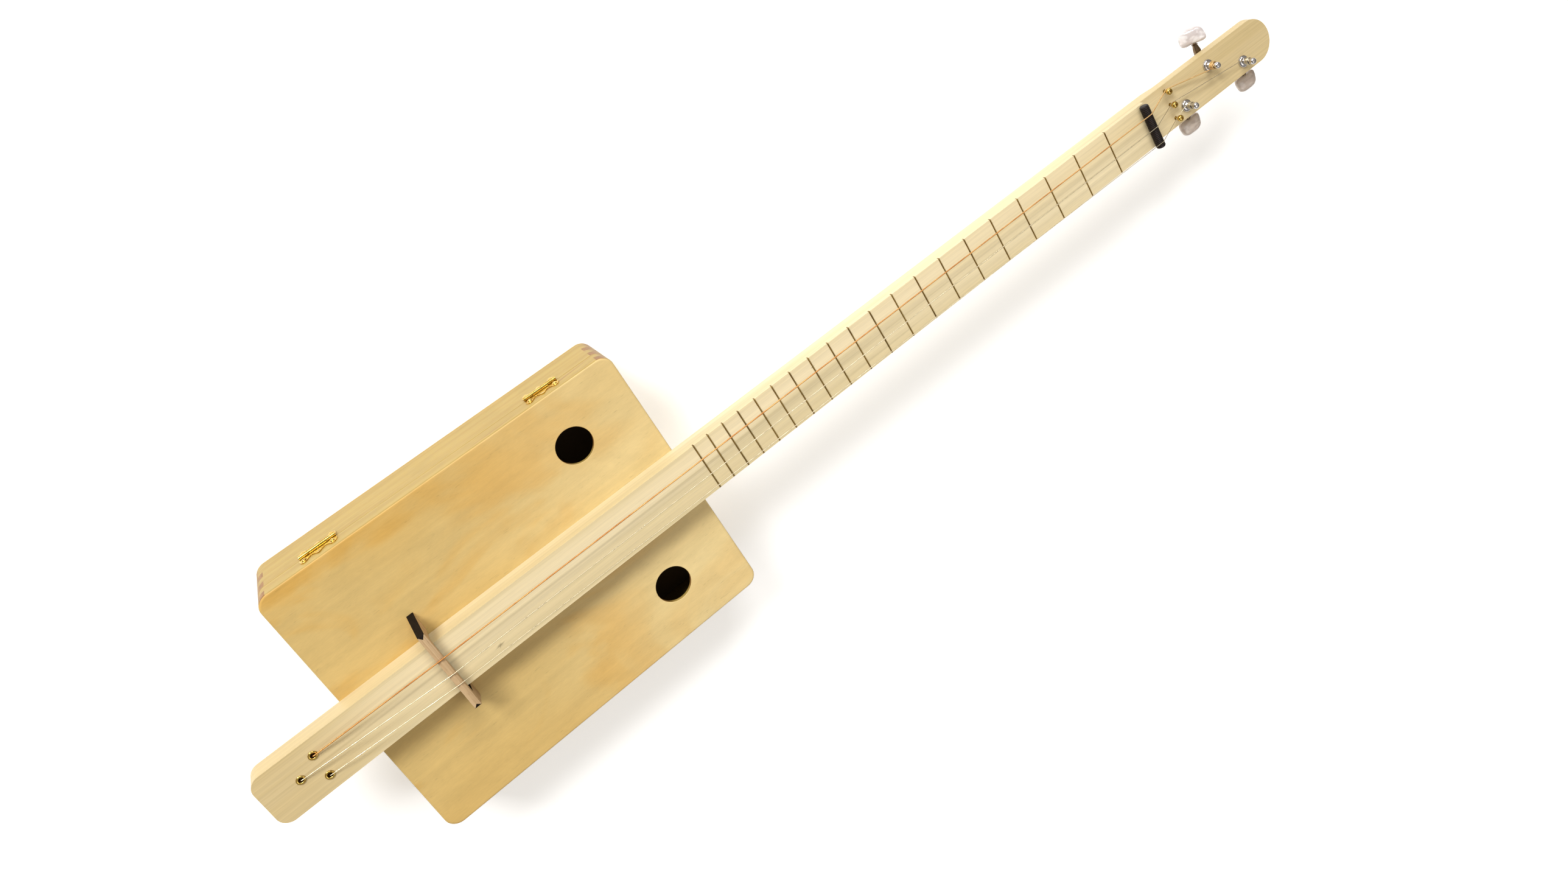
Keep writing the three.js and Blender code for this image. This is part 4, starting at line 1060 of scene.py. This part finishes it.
def post_with_gear():
    """A string post with its waist, cross hole and slanted notch, and the gear at its foot."""
    profile = [
        (0.05, 51), (3, 51), (3, 70.9), (2.85, 71.2), (2.5, 71.5), (2.4, 71.9), (2.4, 77.4),
        (2.5, 77.8), (2.7, 78.1), (2.75, 78.4), (2.75, 79.6), (2.6, 80.3), (2.25, 80.9),
        (1.7, 81.3), (0.05, 81.5),
    ]
    hole_radius, hole_height = POST_HOLE
    hole = moved(turned([(hole_radius, -4), (hole_radius, 4)], 24),
                 Matrix.Translation((0, 0, hole_height)) @ Matrix.Rotation(math.pi / 2, 4, "Y"))
    notch_height, notch_angle = POST_NOTCH
    past = 7
    corners = ((0, 0), (past, 0), (past, past), (0, past))
    notch = skin([[Vector((px, py, pz)) for px, pz in corners] for py in (-past, past)])
    notch = moved(notch, Matrix.Translation((0, 0, notch_height))
                  @ Matrix.Rotation(-math.radians(notch_angle), 4, "Y"))
    flank = ((0.08, 0), (0.2, 0.5), (0.31, 0.96), (0.4, 1))
    shape = ((0, 0), *flank, *((1 - share, rise) for share, rise in reversed(flank)))
    rings = []
    full = GEAR_HALF - GEAR_TRIM
    levels = ((-GEAR_HALF, GEAR_TRIM), (-full, 0), (0, 0), (full, 0), (GEAR_HALF, GEAR_TRIM))
    for height, trim in levels:
        ring = []
        for tooth in range(GEAR_TEETH):
            for share, rise in shape:
                angle = TURN * (tooth + share) / GEAR_TEETH - GEAR_TWIST * height
                radius = GEAR_ROOT + rise * (GEAR_TIP - GEAR_ROOT) - trim
                ring.append(polar(radius, angle, SHAFT_Z + height))
        rings.append(ring)
    return together(carved(turned(profile, 40), hole, notch), skin(rings))


def worm_shaft():
    """The shaft about +Y: its tail collar, the worm's thread, and the ferrule at the button."""
    segments = 28
    start, foot, flank = WORM_THREAD
    tail = [
        (0.05, -8.4), (2, -8.4), (2.2, -8.2), (2.2, -7.4), (2, -7.2), (1.5, -7.2), (1.5, -5.2),
        (WORM_ROOT, -5.2),
    ]
    steps = 84
    thread = [
        (None, WORM_HALF_LENGTH * (2 * step / steps - 1)) for step in range(steps + 1)
    ]
    ferrule = [
        (WORM_ROOT, 5.2), (1.5, 5.2), (1.5, 7.2), (3.1, 7.2), (3.4, 7.5), (3.5, 8.2), (3.3, 8.8),
        (3.35, 9.6), (3.3, 10.6), (3, 12.2), (2.6, 13.8), (2.3, 15), (2.25, 15.5), (2.5, 15.8),
        (2.8, 16), (2.8, 16.3), (1.5, 16.4), (1.5, 24.3), (0.05, 24.4),
    ]
    rings = []
    for radius, y in (*tail, *thread, *ferrule):
        ring = []
        for side in range(segments):
            angle = TURN * side / segments
            reach = radius
            if radius is None:
                phase = (y / WORM_LEAD + angle / TURN + start) % 1
                ridge = min(max((foot - min(phase, 1 - phase)) / flank, 0), 1)
                fade = min(max((WORM_REACH + 0.5 - abs(y)) / 0.8, 0), 1)
                reach = WORM_ROOT + (WORM_TIP - WORM_ROOT) * ridge * fade
            ring.append(Vector((reach * math.sin(angle), y, reach * math.cos(angle))))
        rings.append(ring)
    return skin(rings)


def make_tuners():
    """The two screws of each plate are left at different angles."""
    screw = domed_screw(head_radius=2.1, head_height=1.3, shank=1)
    gear_screw = domed_screw(head_radius=2.3, head_height=1.1, shank=0.4)
    upside_down = Matrix.Rotation(math.pi, 4, "X")
    ferrule, post, shaft = bushing(), post_with_gear(), worm_shaft()
    for index, (x, y) in enumerate(TUNER_PLACES):
        side = TUNER_SIDES[index]
        tuner = f"tuner_{index + 1}"
        facing = Matrix.Scale(side, 4, Y_AXIS)
        spot = Matrix.Translation((x, y, 0))
        at_shaft = Matrix.Translation((x + SHAFT_OFFSET, y, SHAFT_Z))
        for form, place, label, made in (
            (ferrule, Matrix.Translation((x, y, HEAD_FACE)), "bushing", "bushing_chrome"),
            (post, spot @ facing, "post_gear", "post_chrome"),
            (shaft, at_shaft @ facing, "worm_shaft", "worm"),
        ):
            node = f"{tuner}_{label}"
            build(f"{tuner}_{made}", moved(form, place), bodies[node], slots[node], (node,))
        dressed(f"{tuner}_base_plate", f"{tuner}_plate",
                [(0.15, 2, lambda px, py, pz: near(pz, PLATE_BOTTOM, 0.02))])
        screws = [
            moved(screw, spot @ Matrix.Translation((away, 0, PLATE_BOTTOM)) @ upside_down
                  @ Matrix.Rotation(0.4 + away, 4, "Z"))
            for away in PLATE_SCREWS
        ]
        build(f"{tuner}_plate_screws", together(*screws), "lid", "nickel")
        under_gear = spot @ Matrix.Translation((0, 0, SHAFT_Z - GEAR_SCREW_DROP)) @ upside_down
        build(f"{tuner}_gear_screw", moved(gear_screw, under_gear), f"{tuner}_post", "nickel")
        knob = moved(bean(side * BUTTON_TURNS[index]), at_shaft @ facing)
        build(f"{tuner}_button_pearl", knob, f"{tuner}_shaft", "pearloid", (f"{tuner}_button",),
              sharp_angle=60)


# Floor and light

def make_stage():
    mesh = bpy.data.meshes.new("floor")
    mesh.from_pydata([(-FLOOR_REACH, -FLOOR_REACH, 0), (FLOOR_REACH, -FLOOR_REACH, 0),
                      (FLOOR_REACH, FLOOR_REACH, 0), (-FLOOR_REACH, FLOOR_REACH, 0)],
                     [], [(0, 1, 2, 3)])
    floor = placed("floor", mesh)
    paper = Shader("floor", Specular_IOR_Level=0.1, Base_Color=linear(250, 250, 250), Roughness=0.9,
                   Emission_Color=(1, 1, 1, 1), Emission_Strength=FLOOR_GLOW)
    mesh.materials.append(paper.material)


def area_light(name, place, target, size, power):
    data = bpy.data.lights.new(name, "AREA")
    data.shape = "RECTANGLE"
    data.size, data.size_y = size
    data.energy = power
    lamp = placed(name, data)
    lamp.location = place
    lamp.rotation_euler = (Vector(target) - Vector(place)).to_track_quat("-Z", "Y").to_euler()


def make_world():
    """A glow that grows towards the zenith. The camera itself sees it plain and white."""
    world = bpy.data.worlds.new("studio")
    bpy.context.scene.world = world
    world.use_nodes = True
    nodes, links = world.node_tree.nodes, world.node_tree.links
    background = nodes["Background"]
    direction = nodes.new("ShaderNodeTexCoord")
    parts = nodes.new("ShaderNodeSeparateXYZ")
    glow = nodes.new("ShaderNodeMapRange")
    seen = nodes.new("ShaderNodeLightPath")
    shown = nodes.new("ShaderNodeMix")
    tint = nodes.new("ShaderNodeMixRGB")
    sockets = ("From Min", "From Max", "To Min", "To Max")
    for socket, value in zip(sockets, (0.1, 0.75, WORLD_LOW, WORLD_TOP)):
        glow.inputs[socket].default_value = value
    shown.inputs["B"].default_value = 1
    tint.inputs["Color1"].default_value = WORLD_TINT
    tint.inputs["Color2"].default_value = WORLD_SEEN_TINT
    links.new(direction.outputs["Generated"], parts.inputs[0])
    links.new(parts.outputs["Z"], glow.inputs["Value"])
    links.new(seen.outputs["Is Camera Ray"], shown.inputs["Factor"])
    links.new(glow.outputs["Result"], shown.inputs["A"])
    links.new(shown.outputs["Result"], background.inputs["Strength"])
    links.new(seen.outputs["Is Camera Ray"], tint.inputs["Fac"])
    links.new(tint.outputs["Color"], background.inputs["Color"])


make_box()
make_hinges()
make_neck()
make_frets()
make_nut()
make_bridge()
make_retainers()
make_neck_screws()
make_eyelets()
make_strings()
make_tuners()
make_stage()
make_world()
for lamp_name, settings in AREA_LIGHTS.items():
    area_light(lamp_name, *settings)
bpy.context.scene.view_settings.view_transform = "Standard"
